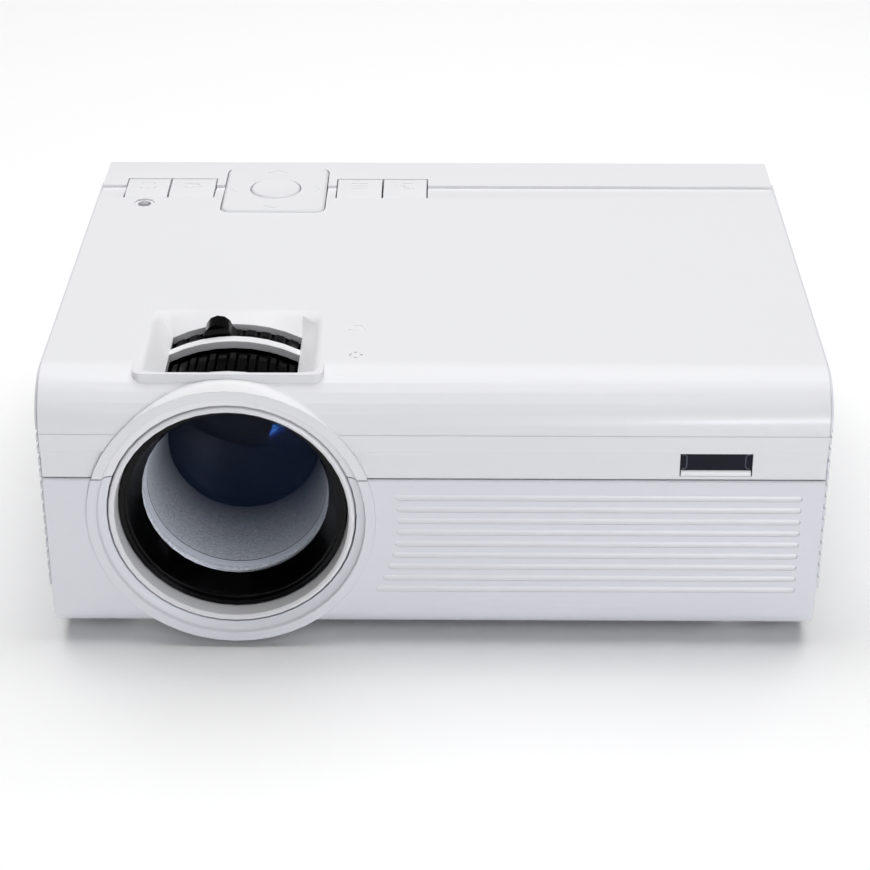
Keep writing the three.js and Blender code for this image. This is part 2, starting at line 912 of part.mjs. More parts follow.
// White upper shell: top, front roll, skirt, band, upper half of the flange, finger well
function topCover() {
  const keep = block(-caseWidth, caseWidth, -caseDepth, 2 * caseDepth, seam + fit / 2, 2 * caseHeight);
  const posts = screwPlaces.map(([, x, y]) => rodZ(x, y, screwPost, screwSplit + fit, ceiling + wall / 2));
  const keyPosts = boardPosts.map(([x, y]) =>
    rodZ(x, y, boardPostRadius, keyBoardTop + fit, ceiling + wall / 2));
  const body = joined([
    caseShell(),
    lensDrum(),
    fingerWell(wellSkin, ceiling - overrun / 2),
    wellLip(),
    ...posts,
    ...keyPosts,
  ]);
  const pilots = screwPlaces.map(([, x, y]) =>
    rodZ(x, y, screwRadius + fit, screwSplit, screwSink + screwLength + screwHeadHeight + overrun));
  const keysLow = tabLow;
  const keyHole = (left, right) =>
    block(left - keyGap, right + keyGap, keyFront - keyGap, keyRear + keyGap, keysLow, caseHeight + overrun);
  const navHole = prismZ(
    roundRect(navX - navWidth / 2 - fit, navX + navWidth / 2 + fit, navFront - fit, navRear + fit, navCorner),
    keysLow, caseHeight + overrun);
  const room = atLens(turned([[0, drumLength - overrun], [wheelRoom, drumLength - overrun],
    [wheelRoom, wellRear + wellSkin], [0, wellRear + wellSkin]]));
  const ringRoom = atLens(turned([[0, ribRear], [keystoneRoom, ribRear],
    [keystoneRoom, rearSlotEnd], [0, rearSlotEnd]]));
  return cut(body.intersect(keep), [
    lensBore(),
    room,
    ringRoom,
    fingerWell(0, caseHeight),
    slotOver(collarDepth, ribFront),
    slotOver(ribRear, rearSlotEnd),
    ...panelOpenings(),
    rearOpening(),
    ...pilots,
    keyHole(powerKeyLeft, backKeyLeft + backKeyWidth),
    keyHole(menuKeyLeft, sourceKeyLeft + sourceKeyWidth),
    navHole,
    rodZ(statusX, statusDepth, statusRadius + fit, keyBoardTop, caseHeight + overrun),
    rodZ(statusX, statusDepth, statusDishRadius, caseHeight - statusDish, caseHeight + overrun),
    prismY(irOutline(fit), -overrun, wall + bandRecess + overrun),
  ]);
}

// Infrared window, in width and height
function irOutline(grow) {
  const half = irWidth / 2 + grow;
  return rect(irX - half, irX + half, seam + fit / 2 + irSill, skirtLow - fit + grow);
}

function grooves() {
  return Array.from({ length: grooveCount }, (_, i) => {
    const z = grooveTop - groovePitch * i;
    const off = z - lensHeight;
    const left = lensX + Math.sqrt(grooveArc * grooveArc - off * off);
    const half = grooveHeight / 2;
    return prismY(roundRect(left, grooveRight, z - half, z + half, half, endSteps), -overrun, grooveDepth);
  });
}

const footPlaces = [
  ['front_left', -footX, footInset],
  ['front_right', footX, footInset],
  ['rear_left', -footX, caseDepth - footInset],
  ['rear_right', footX, caseDepth - footInset],
];

// Posts on the floor: place and the height that each one reaches
function floorPosts() {
  const inset = 2 * postRadius;
  const boxTop = boxLow - fit;
  const mainTop = mainBoardHeight - fit;
  const powerTop = powerBoardHeight - fit;
  const inputTop = inputBoardHeight - fit;
  const mainPostDepth = speakerFront + speakerDepth + 2 * postRadius;
  const inputMiddle = rearFace - inputBoardLength / 2 - fit;
  return [
    [boxLeft + inset, boxFront + inset, boxTop],
    [boxRight - inset, boxFront + inset, boxTop],
    [boxRight - inset, boxRear - inset, boxTop],
    [lensX + inset, boxRear - inset, boxTop],
    [mainBoardLeft + inset, mainBoardRear - inset, mainTop],
    [mainBoardRight - postRadius, mainBoardRear - inset, mainTop],
    [mainBoardRight - postRadius, mainPostDepth, mainTop],
    [mainBoardLeft + 2 * inset, mainPostDepth, mainTop],
    [powerBoardLeft + inset, powerBoardFront + inset, powerTop],
    [powerBoardRight - inset, mainBoardRear - inset, powerTop],
    [inputBoardLeft + inset, inputMiddle, inputTop],
    [inputBoardRight - inset, inputMiddle, inputTop],
  ].map(([x, y, top]) => rodZ(x, y, postRadius, wall / 2, top));
}

// Ribs under the fan and round the loudspeaker
function seats() {
  const fanLow = lensHeight - fanSize / 2 - fit;
  const fanMiddle = fanLeft + fanThickness / 2;
  const reach = fanThickness / 4;
  const ribs = [beamDepth - fanSize / 2 + footRadius, beamDepth + fanSize / 2 - footRadius].map((y) =>
    block(fanMiddle - reach, fanMiddle + reach, y - wall, y + wall, wall / 2, fanLow));
  const ring = prismY(circle(speakerX, speakerHeight, speakerRadius + fit + wall),
    wall + bandRecess / 2, wall + speakerDepth / 2);
  const hole = prismY(circle(speakerX, speakerHeight, speakerRadius + 2 * fit),
    wall + bandRecess, wall + speakerDepth);
  return [...ribs, ring.subtract(hole)];
}

// White lower shell: grooved front, lower half of the flange, floor with its posts
function lowerCase() {
  const keep = block(-caseWidth, caseWidth, -caseDepth, 2 * caseDepth, -caseHeight, seam - fit / 2);
  const posts = screwPlaces.map(([, x, y]) => rodZ(x, y, screwPost, wall / 2, screwSplit));
  const boss = rodZ(0, bushDepth, bushBoss, wall / 2, bushHeight + fit + wall / 2);
  const body = joined([caseShell(), lensDrum(), ...posts, boss, ...floorPosts(), ...seats()]);
  const edge = seam - fit / 2;
  const chamfer = prismX([at(-overrun, edge + overrun), at(-overrun, edge - seamChamfer - overrun),
    at(0, edge - seamChamfer), at(seamChamfer, edge), at(seamChamfer, edge + overrun)], -sideX, sideX);
  const flangeKept = atLens(turned([[0, -2 * overrun], [flangeRadius, -2 * overrun],
    [flangeRadius, overrun], [0, overrun]]));
  const screwHoles = screwPlaces.flatMap(([, x, y]) => [
    rodZ(x, y, screwRadius + fit, -overrun, screwSplit + overrun),
    rodZ(x, y, screwHeadRadius + fit, -overrun, screwSink + screwHeadHeight),
  ]);
  const ventStart = floorVentX - floorVentPitch * (floorVentCount - 1) / 2;
  const vents = Array.from({ length: floorVentCount }, (_, i) => {
    const x = ventStart + floorVentPitch * i;
    const half = floorVentWidth / 2;
    return block(x - half, x + half, boxFront + floorVentInset, boxRear - floorVentInset,
      -overrun, wall + overrun);
  });
  return cut(body.intersect(keep), [
    lensBore(),
    chamfer.subtract(flangeKept),
    ...grooves(),
    ...panelOpenings(),
    rearOpening(),
    ...screwHoles,
    ...footPlaces.map(([, x, y]) => rodZ(x, y, footRadius + fit, -overrun, footSeat, holeSteps)),
    rodZ(0, bushDepth, bushRadius + fit, -overrun, bushHeight + fit, holeSteps),
    ...vents,
  ]);
}

// Louvred side panel: a plate in the wall with a lip over its edge, ribs and banks of air slots
function sidePanel(side) {
  const lip = prismX(panelOutline(0), sideX + fit, sideX + panelProud);
  const plate = prismX(panelOutline(panelLap), sideX - wall, sideX + (fit + panelProud) / 2);
  const length = panelRear - panelInset;
  const grooveRear = panelRear - louvreRearBorder;
  const outside = sideX + 2 * panelProud;
  const inside = sideX - 2 * wall;
  const banks = ventBankShares.flatMap(([from, to]) => [
    at(sideX, panelInset + length * from),
    at(inside, panelInset + length * from),
    at(inside, panelInset + length * to),
    at(sideX, panelInset + length * to),
  ]);
  const comb = [at(outside, 0), at(sideX, 0), ...banks, at(sideX, grooveRear), at(outside, grooveRear)];
  const cutters = Array.from({ length: louvreCount }, (_, i) => {
    const low = louvreTop - louvrePitch * i - louvreGap / 2;
    return prismZ(comb, low, low + louvreGap);
  });
  const right = cut(lip.add(plate), cutters);
  return side < 0 ? solidOf(geometryOf(right).scale(-1, 1, 1)) : right;
}

// White trim ring inside the flange, with a rolled rim and a cone down to the barrel
function lensBezel() {
  const radius = flangeBore - fit;
  const centre = at(radius - bezelRimWidth, bezelRimDepth + bezelRimWidth);
  const rim = arc(centre.x, centre.y, bezelRimWidth, 0, -bezelRimTurn, cornerSteps).map((p) => [p.x, p.y]);
  return turnedRing([[radius, collarDepth], ...rim, [bezelBore, bezelConeDepth], [bezelBore, collarDepth]],
    flangeSteps);
}

const followerTurns = Array.from({ length: followerCount }, (_, i) =>
  fullTurn * (i + 1 / 2) / followerCount);

// A round peg that points out from the lens axis
function follower(turn) {
  const from = barrelRadius - overrun;
  const to = barrelRadius + followerReach;
  const peg = new THREE.CylinderGeometry(followerRadius, followerRadius, to - from, holeSteps / 2);
  return solidOf(peg.rotateX(quarterTurn * degrees).translate(0, 0, (from + to) / 2).rotateY(turn * degrees)
    .translate(0, followerAt, 0));
}

// Sliding barrel: black rim, step, cone to the front glass, and three followers
function lensBarrel() {
  const bore = glassRadius + fit;
  const mouth = barrelFront + barrelMouthDepth;
  const body = turnedRing([
    [barrelRadius, barrelFront],
    [barrelRadius, barrelFront + barrelLength],
    [bore, barrelFront + barrelLength],
    [bore, mouth],
    [barrelMouth, mouth],
    [barrelConeRadius, barrelFront + barrelStep],
    [barrelRadius - barrelRim, barrelFront + barrelStep],
    [barrelRadius - barrelRim, barrelFront],
  ]);
  return joined([body, ...followerTurns.map(follower)]);
}

// A lens element: bulged front, edge and flat rear
function glassElement(radius, front, edge, bulge, steps) {
  const dome = Array.from({ length: domeSteps }, (_, i) => {
    const share = i / domeSteps;
    return [radius * share, front - bulge * (1 - share * share)];
  });
  return turned([...dome, [radius, front], [radius, front + edge], [0, front + edge]], steps);
}

const glassFront = barrelFront + barrelMouthDepth + fit;
const cupFront = glassFront + frontGlassEdge + fit;
const rearGlassFront = cupFront + cupLength + rearGlassBulge + fit;
const lockRingFront = rearGlassFront + rearGlassEdge + fit;

function frontGlass() {
  return glassElement(glassRadius, glassFront, frontGlassEdge, frontGlassBulge, ringSteps);
}

function rearGlass() {
  const radius = glassRadius - cupRimWidth - fit;
  return glassElement(radius, rearGlassFront, rearGlassEdge, rearGlassBulge, innerSteps);
}

// Silver cup: spacer between the two elements, coned down to its throat
function silverCup() {
  const inner = glassRadius - cupRimWidth;
  const end = cupFront + cupLength;
  return turnedRing([
    [glassRadius, cupFront],
    [glassRadius, end + rearGlassBulge],
    [inner, end + rearGlassBulge],
    [cupThroat + cupRimWidth, end],
    [cupThroat, end],
    [inner - cupRimWidth, cupFront + cupRimWidth],
    [inner, cupFront],
  ]);
}

function lockRing() {
  return turnedRing([
    [glassRadius, lockRingFront],
    [glassRadius, lockRingFront + lockRingLength],
    [lockRingBore, lockRingFront + lockRingLength],
    [lockRingBore, lockRingFront + rearGlassBulge],
  ], innerSteps);
}

// Fixed tube: straight slots for the followers, a shoulder and the plate on the optical box
function lensTube() {
  const body = turnedRing([
    [tubeRadius, tubeStart],
    [tubeRadius, keystoneEnd + fit],
    [tubeShoulder, keystoneEnd + fit],
    [tubeShoulder, tubeEnd],
    [tubeBore, tubeEnd],
    [tubeBore, tubeStart],
  ], tubeSteps);
  const plate = prismY(roundRect(-plateWidth / 2, plateWidth / 2, -plateHeight / 2, plateHeight / 2,
    rearPanelCorner), tubeEnd - overrun, tubeEnd + plateThickness);
  const bore = turned([[0, tubeEnd - 2 * overrun], [tubeBore, tubeEnd - 2 * overrun],
    [tubeBore, tubeEnd + 2 * plateThickness], [0, tubeEnd + 2 * plateThickness]], tubeSteps);
  const width = 2 * (followerRadius + fit);
  const slots = followerTurns.map((turn) => {
    const slot = new THREE.BoxGeometry(width, width + 2 * focusTravel, tubeWall + 2 * overrun);
    return solidOf(slot.translate(0, followerAt, tubeBore + tubeWall / 2).rotateY(turn * degrees));
  });
  return cut(body.add(plate), [bore, ...slots]);
}

// Point on a circle about the lens axis, with its angle in degrees from straight up
function onRing(radius, turn) {
  return at(radius * Math.sin(turn * degrees), radius * Math.cos(turn * degrees));
}

// Outline of a toothed wheel in width and height: a valley half a pitch before each tooth, then
// its two tip corners. Each tooth is a middle angle and a width.
function toothedOutline(root, tip, pitch, teeth) {
  return teeth.flatMap(([middle, width]) => {
    const half = Math.asin(width / 2 / tip) / degrees;
    return [onRing(root, middle - pitch / 2), onRing(tip, middle - half), onRing(tip, middle + half)];
  });
}

// Helical groove inside the focus ring that drives one follower
function camGroove(turn) {
  const half = followerRadius + fit;
  const margin = Math.asin(half / ringBore) / degrees;
  const reach = focusTurn + margin;
  const rings = Array.from({ length: camSteps + 1 }, (_, i) => {
    const off = reach * (2 * i / camSteps - 1);
    const y = followerAt + focusTravel * off / focusTurn;
    const angle = (turn + off) * degrees;
    const on = (radius, depth) => [radius * Math.sin(angle), depth, radius * Math.cos(angle)];
    const inner = ringBore - overrun;
    const outer = ringBore + camGrooveDepth;
    return [on(inner, y - half), on(outer, y - half), on(outer, y + half), on(inner, y + half)];
  });
  return loft(rings);
}

// Focus ring: ribs, shorter pads between them, and three cam grooves inside
function focusRing() {
  const end = focusRingStart + focusRingLength;
  const pitch = fullTurn / focusToothPairs;
  const ribs = Array.from({ length: focusToothPairs }, (_, i) => [pitch * i, focusRibWidth]);
  const teeth = ribs.flatMap(([angle, width]) => [[angle, width], [angle + pitch / 2, focusPadWidth]]);
  const crown = toothedOutline(focusRootRadius, focusToothRadius, pitch / 2, teeth);
  const body = prismY(crown, focusRingStart, end);
  const padEnds = ribs.map(([angle]) => prismY([
    onRing(focusRootRadius, angle + pitch / 4),
    onRing(focusToothRadius + overrun, angle + pitch / 4),
    onRing(focusToothRadius + overrun, angle + pitch - pitch / 4),
    onRing(focusRootRadius, angle + pitch - pitch / 4),
  ], end - focusPadSetback, end + overrun));
  const bore = turned([[0, focusRingStart - overrun], [ringBore, focusRingStart - overrun],
    [ringBore, end + overrun], [0, end + overrun]]);
  return cut(body, [...padEnds, bore, ...followerTurns.map(camGroove)]);
}

function spacerRing() {
  const from = focusRingStart + focusRingLength + fit;
  const to = keystoneStart - fit;
  const section = [[ringBore, from], [tubeShoulder, from], [tubeShoulder, to], [ringBore, to]];
  return turnedRing(section, innerSteps);
}

// Keystone ring: hub, toothed sector at the top, finger knob, and the cam at its right
function keystoneRing() {
  const start = keystoneStart;
  const end = keystoneEnd;
  const step = keystoneToothPitch / keystoneToothRadius / degrees;
  const count = Math.floor(2 * keystoneSector / step);
  const teeth = Array.from({ length: count }, (_, i) =>
    [step * (i + 1 / 2 - count / 2), keystoneToothPitch * keystoneToothShare]);
  const crown = toothedOutline(keystoneRoot, keystoneToothRadius, step, teeth);
  const hub = prismY(circle(0, 0, keystoneHub, ringSteps), start, end);
  const sector = prismY([at(0, 0), ...crown, onRing(keystoneRoot, keystoneSector)], start, end);
  const cam = prismY([at(0, 0), ...Array.from({ length: camSteps + 1 }, (_, i) => {
    const rise = camFrom + (camTo - camFrom) * i / camSteps;
    return onRing(camRadius + camRise * rise * degrees, quarterTurn - rise);
  })], start, end);
  const half = knobWidth / 2;
  const brow = knobRadius - knobCrown;
  const knob = prismY([
    at(-half, keystoneRoot),
    ...arc(0, brow, knobCrown, halfTurn, 0, 2 * cornerSteps),
    at(half, keystoneRoot),
    at(0, keystoneHub),
  ].map((p) => p.rotateAround(at(0, 0), knobTurn * degrees)), start + knobInset, end - knobInset);
  const bore = prismY(circle(0, 0, ringBore, ringSteps), start - overrun, end + overrun);
  return joined([hub, sector, cam, knob]).subtract(bore);
}

// Small key: cap with a sloped front edge, tabs under the cover and a stem
function key(left, width) {
  const right = left + width;
  const cap = prismX([
    at(keyFront, tabLow),
    at(keyRear, tabLow),
    at(keyRear, caseHeight),
    at(keyFront + keyFacetRun, caseHeight),
    at(keyFront, caseHeight - keyFacetDrop),
  ], left, right);
  const tabs = block(left, right, keyFront - keyTab, keyRear + keyTab, tabLow, tabTop);
  const middle = (keyFront + keyRear) / 2;
  const centre = (left + right) / 2;
  const half = keyStem / 2;
  const stem = block(centre - half, centre + half, middle - half, middle + half, stemLow,
    tabLow + overrun / 2);
  return joined([cap, tabs, stem]);
}

// Navigation tile: bevelled square with a round hole, and two lugs on the pivot ring's pins
function navTile() {
  const half = navWidth / 2;
  const ring = (inset, z) => roundRect(navX - half + inset, navX + half - inset,
    navFront + inset, navRear - inset, navCorner - inset).map((p) => [p.x, p.y, z]);
  const top = caseHeight + navProud;
  const plate = loft([ring(0, navLow), ring(0, top - navBevel), ring(navBevel, top)]);
  const inner = pivotRingRadius + fit;
  const outer = inner + pivotLug;
  const low = pivotMiddle - pivotPinRadius - fit - pivotLug / 2;
  const lug = (x0, x1) =>
    block(x0, x1, navMiddle - pivotLug, navMiddle + pivotLug, low, navLow + overrun);
  const lugs = [lug(navX - outer, navX - inner), lug(navX + inner, navX + outer)];
  const bore = prismX(circle(navMiddle, pivotMiddle, pivotPinRadius + fit, smallSteps), navX - 2 * outer,
    navX + 2 * outer);
  const hole = rodZ(navX, navMiddle, okRadius + fit, navLow - overrun, top + overrun, innerSteps);
  return cut(joined([plate, ...lugs]), [bore, hole]);
}

// Ring with two pins for the tile and two, square to them, for the board's lugs
function pivotRing() {
  const low = pivotMiddle - pivotRingHeight / 2;
  const high = pivotMiddle + pivotRingHeight / 2;
  const reach = pivotRingRadius + pivotPinLength;
  const pin = (middle) => circle(middle, pivotMiddle, pivotPinRadius, smallSteps);
  const across = prismX(pin(navMiddle), navX - reach, navX + reach);
  const along = prismY(pin(navX), navMiddle - reach, navMiddle + reach);
  const body = rodZ(navX, navMiddle, pivotRingRadius, low, high, holeSteps);
  const hole = rodZ(navX, navMiddle, pivotRingBore, low - overrun, high + overrun, holeSteps);
  return joined([body, across, along]).subtract(hole);
}

function okKey() {
  const flangeTop = navLow - 2 * fit;
  const flangeLow = flangeTop - okFlangeThickness;
  const top = caseHeight + okProud;
  const stem = rodZ(navX, navMiddle, keyStem, stemLow, flangeLow + okFlangeThickness / 2);
  return turnedUp([
    [0, flangeLow],
    [okFlange, flangeLow],
    [okFlange, flangeTop],
    [okRadius, flangeTop],
    [okRadius, top - okDish],
    [okRadius - okDish, top],
    [okDishRadius, top],
    [0, top - okDish],
  ], navX, navMiddle, innerSteps).add(stem);
}

const smallKeys = [
  ['power_key', powerKeyLeft, powerKeyWidth],
  ['back_key', backKeyLeft, backKeyWidth],
  ['menu_key', menuKeyLeft, menuKeyWidth],
  ['source_key', sourceKeyLeft, sourceKeyWidth],
];

// Key board under the keys, with a switch for each and the pivot ring's two lugs
function keyBoard() {
  const half = switchSize / 2;
  const middle = (keyFront + keyRear) / 2;
  const switchAt = (x, y) =>
    block(x - half, x + half, y - half, y + half, keyBoardTop - overrun / 2, switchTop);
  const inner = pivotRingRadius + fit;
  const outer = inner + pivotLug;
  const lugTop = pivotMiddle + pivotPinRadius + fit + pivotLug / 2;
  const lug = (y0, y1) => block(navX - pivotLug, navX + pivotLug, y0, y1, keyBoardTop - overrun / 2, lugTop);
  const bore = prismY(circle(navX, pivotMiddle, pivotPinRadius + fit, smallSteps), navMiddle - 2 * outer,
    navMiddle + 2 * outer);
  const body = joined([
    block(keyBoardLeft, keyBoardRight, keyBoardFront, keyBoardRear, keyBoardLow, keyBoardTop),
    ...smallKeys.map(([, left, width]) => switchAt(left + width / 2, middle)),
    lug(navMiddle - outer, navMiddle - inner),
    lug(navMiddle + inner, navMiddle + outer),
  ]).subtract(bore);
  const notches = screwPlaces.map(([, x, y]) => rodZ(x, y, screwPost + fit, keyBoardLow - overrun, lugTop));
  return cut(body, notches).add(switchAt(navX, navMiddle));
}

function statusLight() {
  const top = caseHeight + statusProud;
  const dome = corner(0, top - statusRadius, statusRadius, upperRight).map((p) => [p.x, p.y]);
  const low = keyBoardTop + fit;
  return turnedUp([[0, low], [statusRadius, low], ...dome], statusX, statusDepth);
}

function irWindow() {
  const front = bandRecess + irSetback;
  const back = wall + bandRecess + fit;
  const half = irWidth / 2 + wall;
  const flange = rect(irX - half, irX + half, seam + fit + irSill, skirtLow + wall);
  const rear = back + irThickness / 2;
  return prismY(irOutline(0), front, rear).add(prismY(flange, back, rear));
}

function irSensor() {
  const front = wall + bandRecess + irThickness / 2 + 2 * fit;
  const low = mainBoardHeight + boardThickness + fit;
  const half = irSensorWidth / 2;
  return block(irX - half, irX + half, front, front + irSensorDepth, low, skirtLow);
}

function foot(x, y) {
  return turnedUp([[0, -footHeight], [footRadius - footRim, -footHeight], [footRadius, footRim - footHeight],
    [footRadius, footSeat - fit], [0, footSeat - fit]], x, y);
}

function caseScrew(x, y) {
  const head = rodZ(x, y, screwHeadRadius, screwSink, screwSink + screwHeadHeight);
  return head.add(rodZ(x, y, screwRadius, screwSink, screwSink + screwHeadHeight + screwLength));
}

function tripodBush() {
  return turnedUp([[bushBore, 0], [bushRadius, 0], [bushRadius, bushHeight], [bushBore, bushHeight],
    [bushBore, 0]], 0, bushDepth);
}

// Sockets stand on the input board and look out of the rear panel
const socketLow = inputBoardTop + fit;
const socketFace = caseDepth - fit;

function socketOutline(x, width, height, grow) {
  return rect(x - width / 2 - grow, x + width / 2 + grow, socketLow - grow, socketLow + height + grow);
}

// A shell with a contact tongue inside, open at the rear
function dataSocket(x, width, height, tongueShare) {
  const front = socketFace - socketDepth;
  const shell = prismY(socketOutline(x, width, height, 0), front, socketFace);
  const hollow = prismY(socketOutline(x, width, height, -socketWall), front + socketWall,
    socketFace + overrun);
  const middle = socketLow + height / 2;
  const half = height * tongueShare / 2;
  const reach = width / 2 - 2 * socketWall;
  const tongue = block(x - reach, x + reach, front, socketFace - 2 * socketWall, middle - half,
    middle + half);
  return shell.subtract(hollow).add(tongue);
}

function cardSocket() {
  const front = socketFace - socketDepth;
  const shell = prismY(socketOutline(cardX, cardWidth, cardHeight, 0), front, socketFace);
  return shell.subtract(prismY(socketOutline(cardX, cardWidth, cardHeight, -socketWall),
    front + socketWall, socketFace + overrun));
}

function audioSocket() {
  const middle = socketLow + audioRadius;
  const front = socketFace - socketDepth;
  const base = prismY(rect(audioX - audioRadius, audioX + audioRadius, socketLow, middle),
    front, rearFace - 2 * wall);
  const barrel = prismY(circle(audioX, middle, audioRadius), front, socketFace);
  return base.add(barrel).subtract(prismY(circle(audioX, middle, audioBore), front + socketWall,
    socketFace + overrun));
}

function inletOutline(grow) {
  return roundRect(inletX - inletWidth / 2 - grow, inletX + inletWidth / 2 + grow,
    inletHeight - inletTall / 2 - grow, inletHeight + inletTall / 2 + grow, rearPanelCorner);
}

// Two-pin mains inlet, and a flange that bears on the inside of the rear panel
function powerInlet() {
  const front = caseDepth - inletDepth;
  const back = rearFace - wall - 2 * fit;
  const flange = roundRect(inletX - inletWidth / 2 - inletFlange, inletX + inletWidth / 2 + inletFlange,
    inletHeight - inletTall / 2 - inletFlange, inletHeight + inletTall / 2 + inletFlange, rearPanelCorner);
  const body = prismY(inletOutline(0), front, caseDepth).add(prismY(flange, back - wall, back));
  const hollow = prismY(inletOutline(-inletWall), front + 2 * inletWall, caseDepth + overrun);
  const pins = [-1, 1].map((side) =>
    prismY(circle(inletX + side * inletPinPitch / 2, inletHeight, inletPinRadius), front,
      caseDepth - inletWall));
  return joined([body.subtract(hollow), ...pins]);
}

// Rear panel with a lap behind the wall, air slots and the sockets' openings
function rearPanel() {
  const face = prismY(rearPanelOutline(0), rearFace - fit - wall / 2, caseDepth);
  const lap = prismY(rearPanelOutline(rearPanelLap), rearFace - fit - wall, rearFace - fit);
  const slots = Array.from({ length: rearVentCount }, (_, i) => {
    const z = rearVentLow + rearVentPitch * i;
    return block(rearVentX - rearVentWidth / 2, rearVentX + rearVentWidth / 2, rearFace - 2 * wall,
      caseDepth + overrun, z, z + rearVentPitch * rearVentShare);
  });
  const through = (outline) => prismY(outline, rearFace - 2 * wall, caseDepth + overrun);
  return cut(face.add(lap), [
    ...slots,
    through(socketOutline(hdmiX, hdmiWidth, hdmiHeight, fit)),
    through(socketOutline(usbX, usbWidth, usbHeight, fit)),
    through(socketOutline(cardX, cardWidth, cardHeight, fit)),
    through(circle(audioX, socketLow + audioRadius, audioRadius + fit)),
    through(inletOutline(fit)),
  ]);
}

function inputBoard() {
  const rear = rearFace - wall - 2 * fit;
  const chip = chipSize / 2;
  const middle = (inputBoardLeft + inputBoardRight) / 2;
  const front = rear - inputBoardLength;
  return block(inputBoardLeft, inputBoardRight, front, rear, inputBoardHeight, inputBoardTop)
    .add(block(middle - chip, middle + chip, front, front + chip / 4,
      inputBoardTop - overrun / 2, inputBoardTop + chipHeight));
}

// Optical box in plan, with the corner behind the mirror cut off at 45 degrees
function boxOutline(inset) {
  const left = boxLeft + inset;
  const right = boxRight - inset;
  const front = boxFront + inset;
  const rear = boxRear - inset;
  const back = mirrorBack + (boxWall - inset) * Math.SQRT2;
  const side = Math.max(left, front - back);
  return [at(side, front), at(right, front), at(right, rear), at(rear - back, rear), at(side, side + back)];
}

// Depth less width on the plane behind the mirror, with its gap
const mirrorPlane = beamDepth - lensX;
const mirrorBack = mirrorPlane + (mirrorThickness + fit) * Math.SQRT2;

function opticalBox() {
  const body = prismZ(boxOutline(0), boxLow, boxHigh);
  const hollow = prismZ(boxOutline(boxWall), boxLow + boxWall, boxHigh + overrun);
  const ports = [
    prismY(circle(lensX, lensHeight, tubeBore, innerSteps), boxFront - overrun, boxFront + boxWall + overrun),
    prismX(circle(beamDepth, lensHeight, lightPort, innerSteps), boxRight - boxWall - overrun,
      boxRight + overrun),
  ];
  const hinge = prismY(circle(carrierX, hingeHeight, hingeRadius + fit, smallSteps), boxFront - overrun,
    boxRear + overrun);
  const armRoom = block(carrierX - 2 * armThickness, carrierX + 2 * armThickness, boxFront - overrun,
    boxFront + boxWall + overrun, lensHeight - armHeight, lensHeight + 2 * armHeight);
  const acrossBeam = sinkLength / 2 - postRadius;
  const aboveBeam = sinkTall / 2 - 2 * postRadius;
  const bosses = [-1, 1].flatMap((side) => [-1, 1].map((up) =>
    prismX(circle(beamDepth + side * acrossBeam, lensHeight + up * aboveBeam, postRadius, smallSteps),
      boxRight - boxWall / 2, sinkFront - fit)));
  return joined([cut(body, [hollow, ...ports, hinge, armRoom]), ...bosses]);
}

function opticalLid() {
  return prismZ(boxOutline(0), boxHigh + fit, boxHigh + fit + lidThickness);
}

// Flat mirror that turns the light from the picture panel into the lens
function foldMirror() {
  const plate = new THREE.BoxGeometry(mirrorLength, mirrorThickness, mirrorTall);
  plate.translate(0, mirrorThickness / 2, 0).rotateZ(mirrorTurn * degrees);
  return solidOf(plate.translate(lensX, beamDepth, lensHeight));
}

function fresnel(share) {
  const x = lensX + beamLength * share;
  const gap = boxWall + fit;
  return block(x, x + fresnelThickness, boxFront + gap, boxRear - gap, boxLow + gap, boxHigh - fit);
}

// Plano-convex condenser seated in the light port
function condenser() {
  const radius = lightPort - fit;
  const bulge = condenserThickness - condenserEdge;
  const dome = Array.from({ length: domeSteps }, (_, i) =>
    [radius * i / domeSteps, -bulge * (1 - (i / domeSteps) ** 2)]);
  const lens = new THREE.LatheGeometry([...dome, [radius, 0], [radius, condenserEdge], [0, condenserEdge]]
    .map(([r, x]) => at(r, x)), innerSteps);
  lens.rotateZ(-quarterTurn * degrees);
  return solidOf(lens.translate(boxRight - condenserEdge, beamDepth, lensHeight));
}

// Tilting frame of the picture panel: hinge stubs, and the arm that rests on the keystone cam
function panelCarrier() {
  const half = carrierLength / 2;
  const tall = carrierTall / 2;
  const thick = carrierThickness / 2;
  const round = (x0, x1, length, height) =>
    block(x0, x1, beamDepth - length, beamDepth + length, lensHeight - height, lensHeight + height);
  const border = panelMargin + fit;
  const frame = round(carrierX - thick, carrierX + thick, half, tall);
  const window = round(carrierX - carrierThickness, carrierX + carrierThickness, pictureLength / 2,
    pictureTall / 2);
  const seat = round(carrierX, carrierX + carrierThickness, pictureLength / 2 + border,
    pictureTall / 2 + border);
  const stub = prismY(circle(carrierX, hingeHeight, hingeRadius, smallSteps), boxFront + fit, boxRear - fit)
    .subtract(block(carrierX - carrierThickness, carrierX + carrierThickness, beamDepth - half + overrun,
      beamDepth + half - overrun, 0, lensHeight));
  const tipFace = lensX + camRadius + camGap;
  const armFront = (keystoneStart + keystoneEnd) / 2 - armHeight / 2;
  const bar = block(carrierX - armThickness / 2, carrierX + armThickness / 2, armFront,
    beamDepth - half + overrun, lensHeight - armHeight / 2, lensHeight + armHeight / 2);
  const tip = block(tipFace, carrierX, armFront, armFront + armHeight, lensHeight - armTipHeight / 2,
    lensHeight + armTipHeight / 2);
  return joined([cut(frame, [window, seat]), bar, tip, stub]);
}

function picturePanel() {
  const length = pictureLength / 2 + panelMargin;
  const tall = pictureTall / 2 + panelMargin;
  const left = carrierX + fit / 2;
  return block(left, left + panelThickness, beamDepth - length, beamDepth + length, lensHeight - tall,
    lensHeight + tall);
}

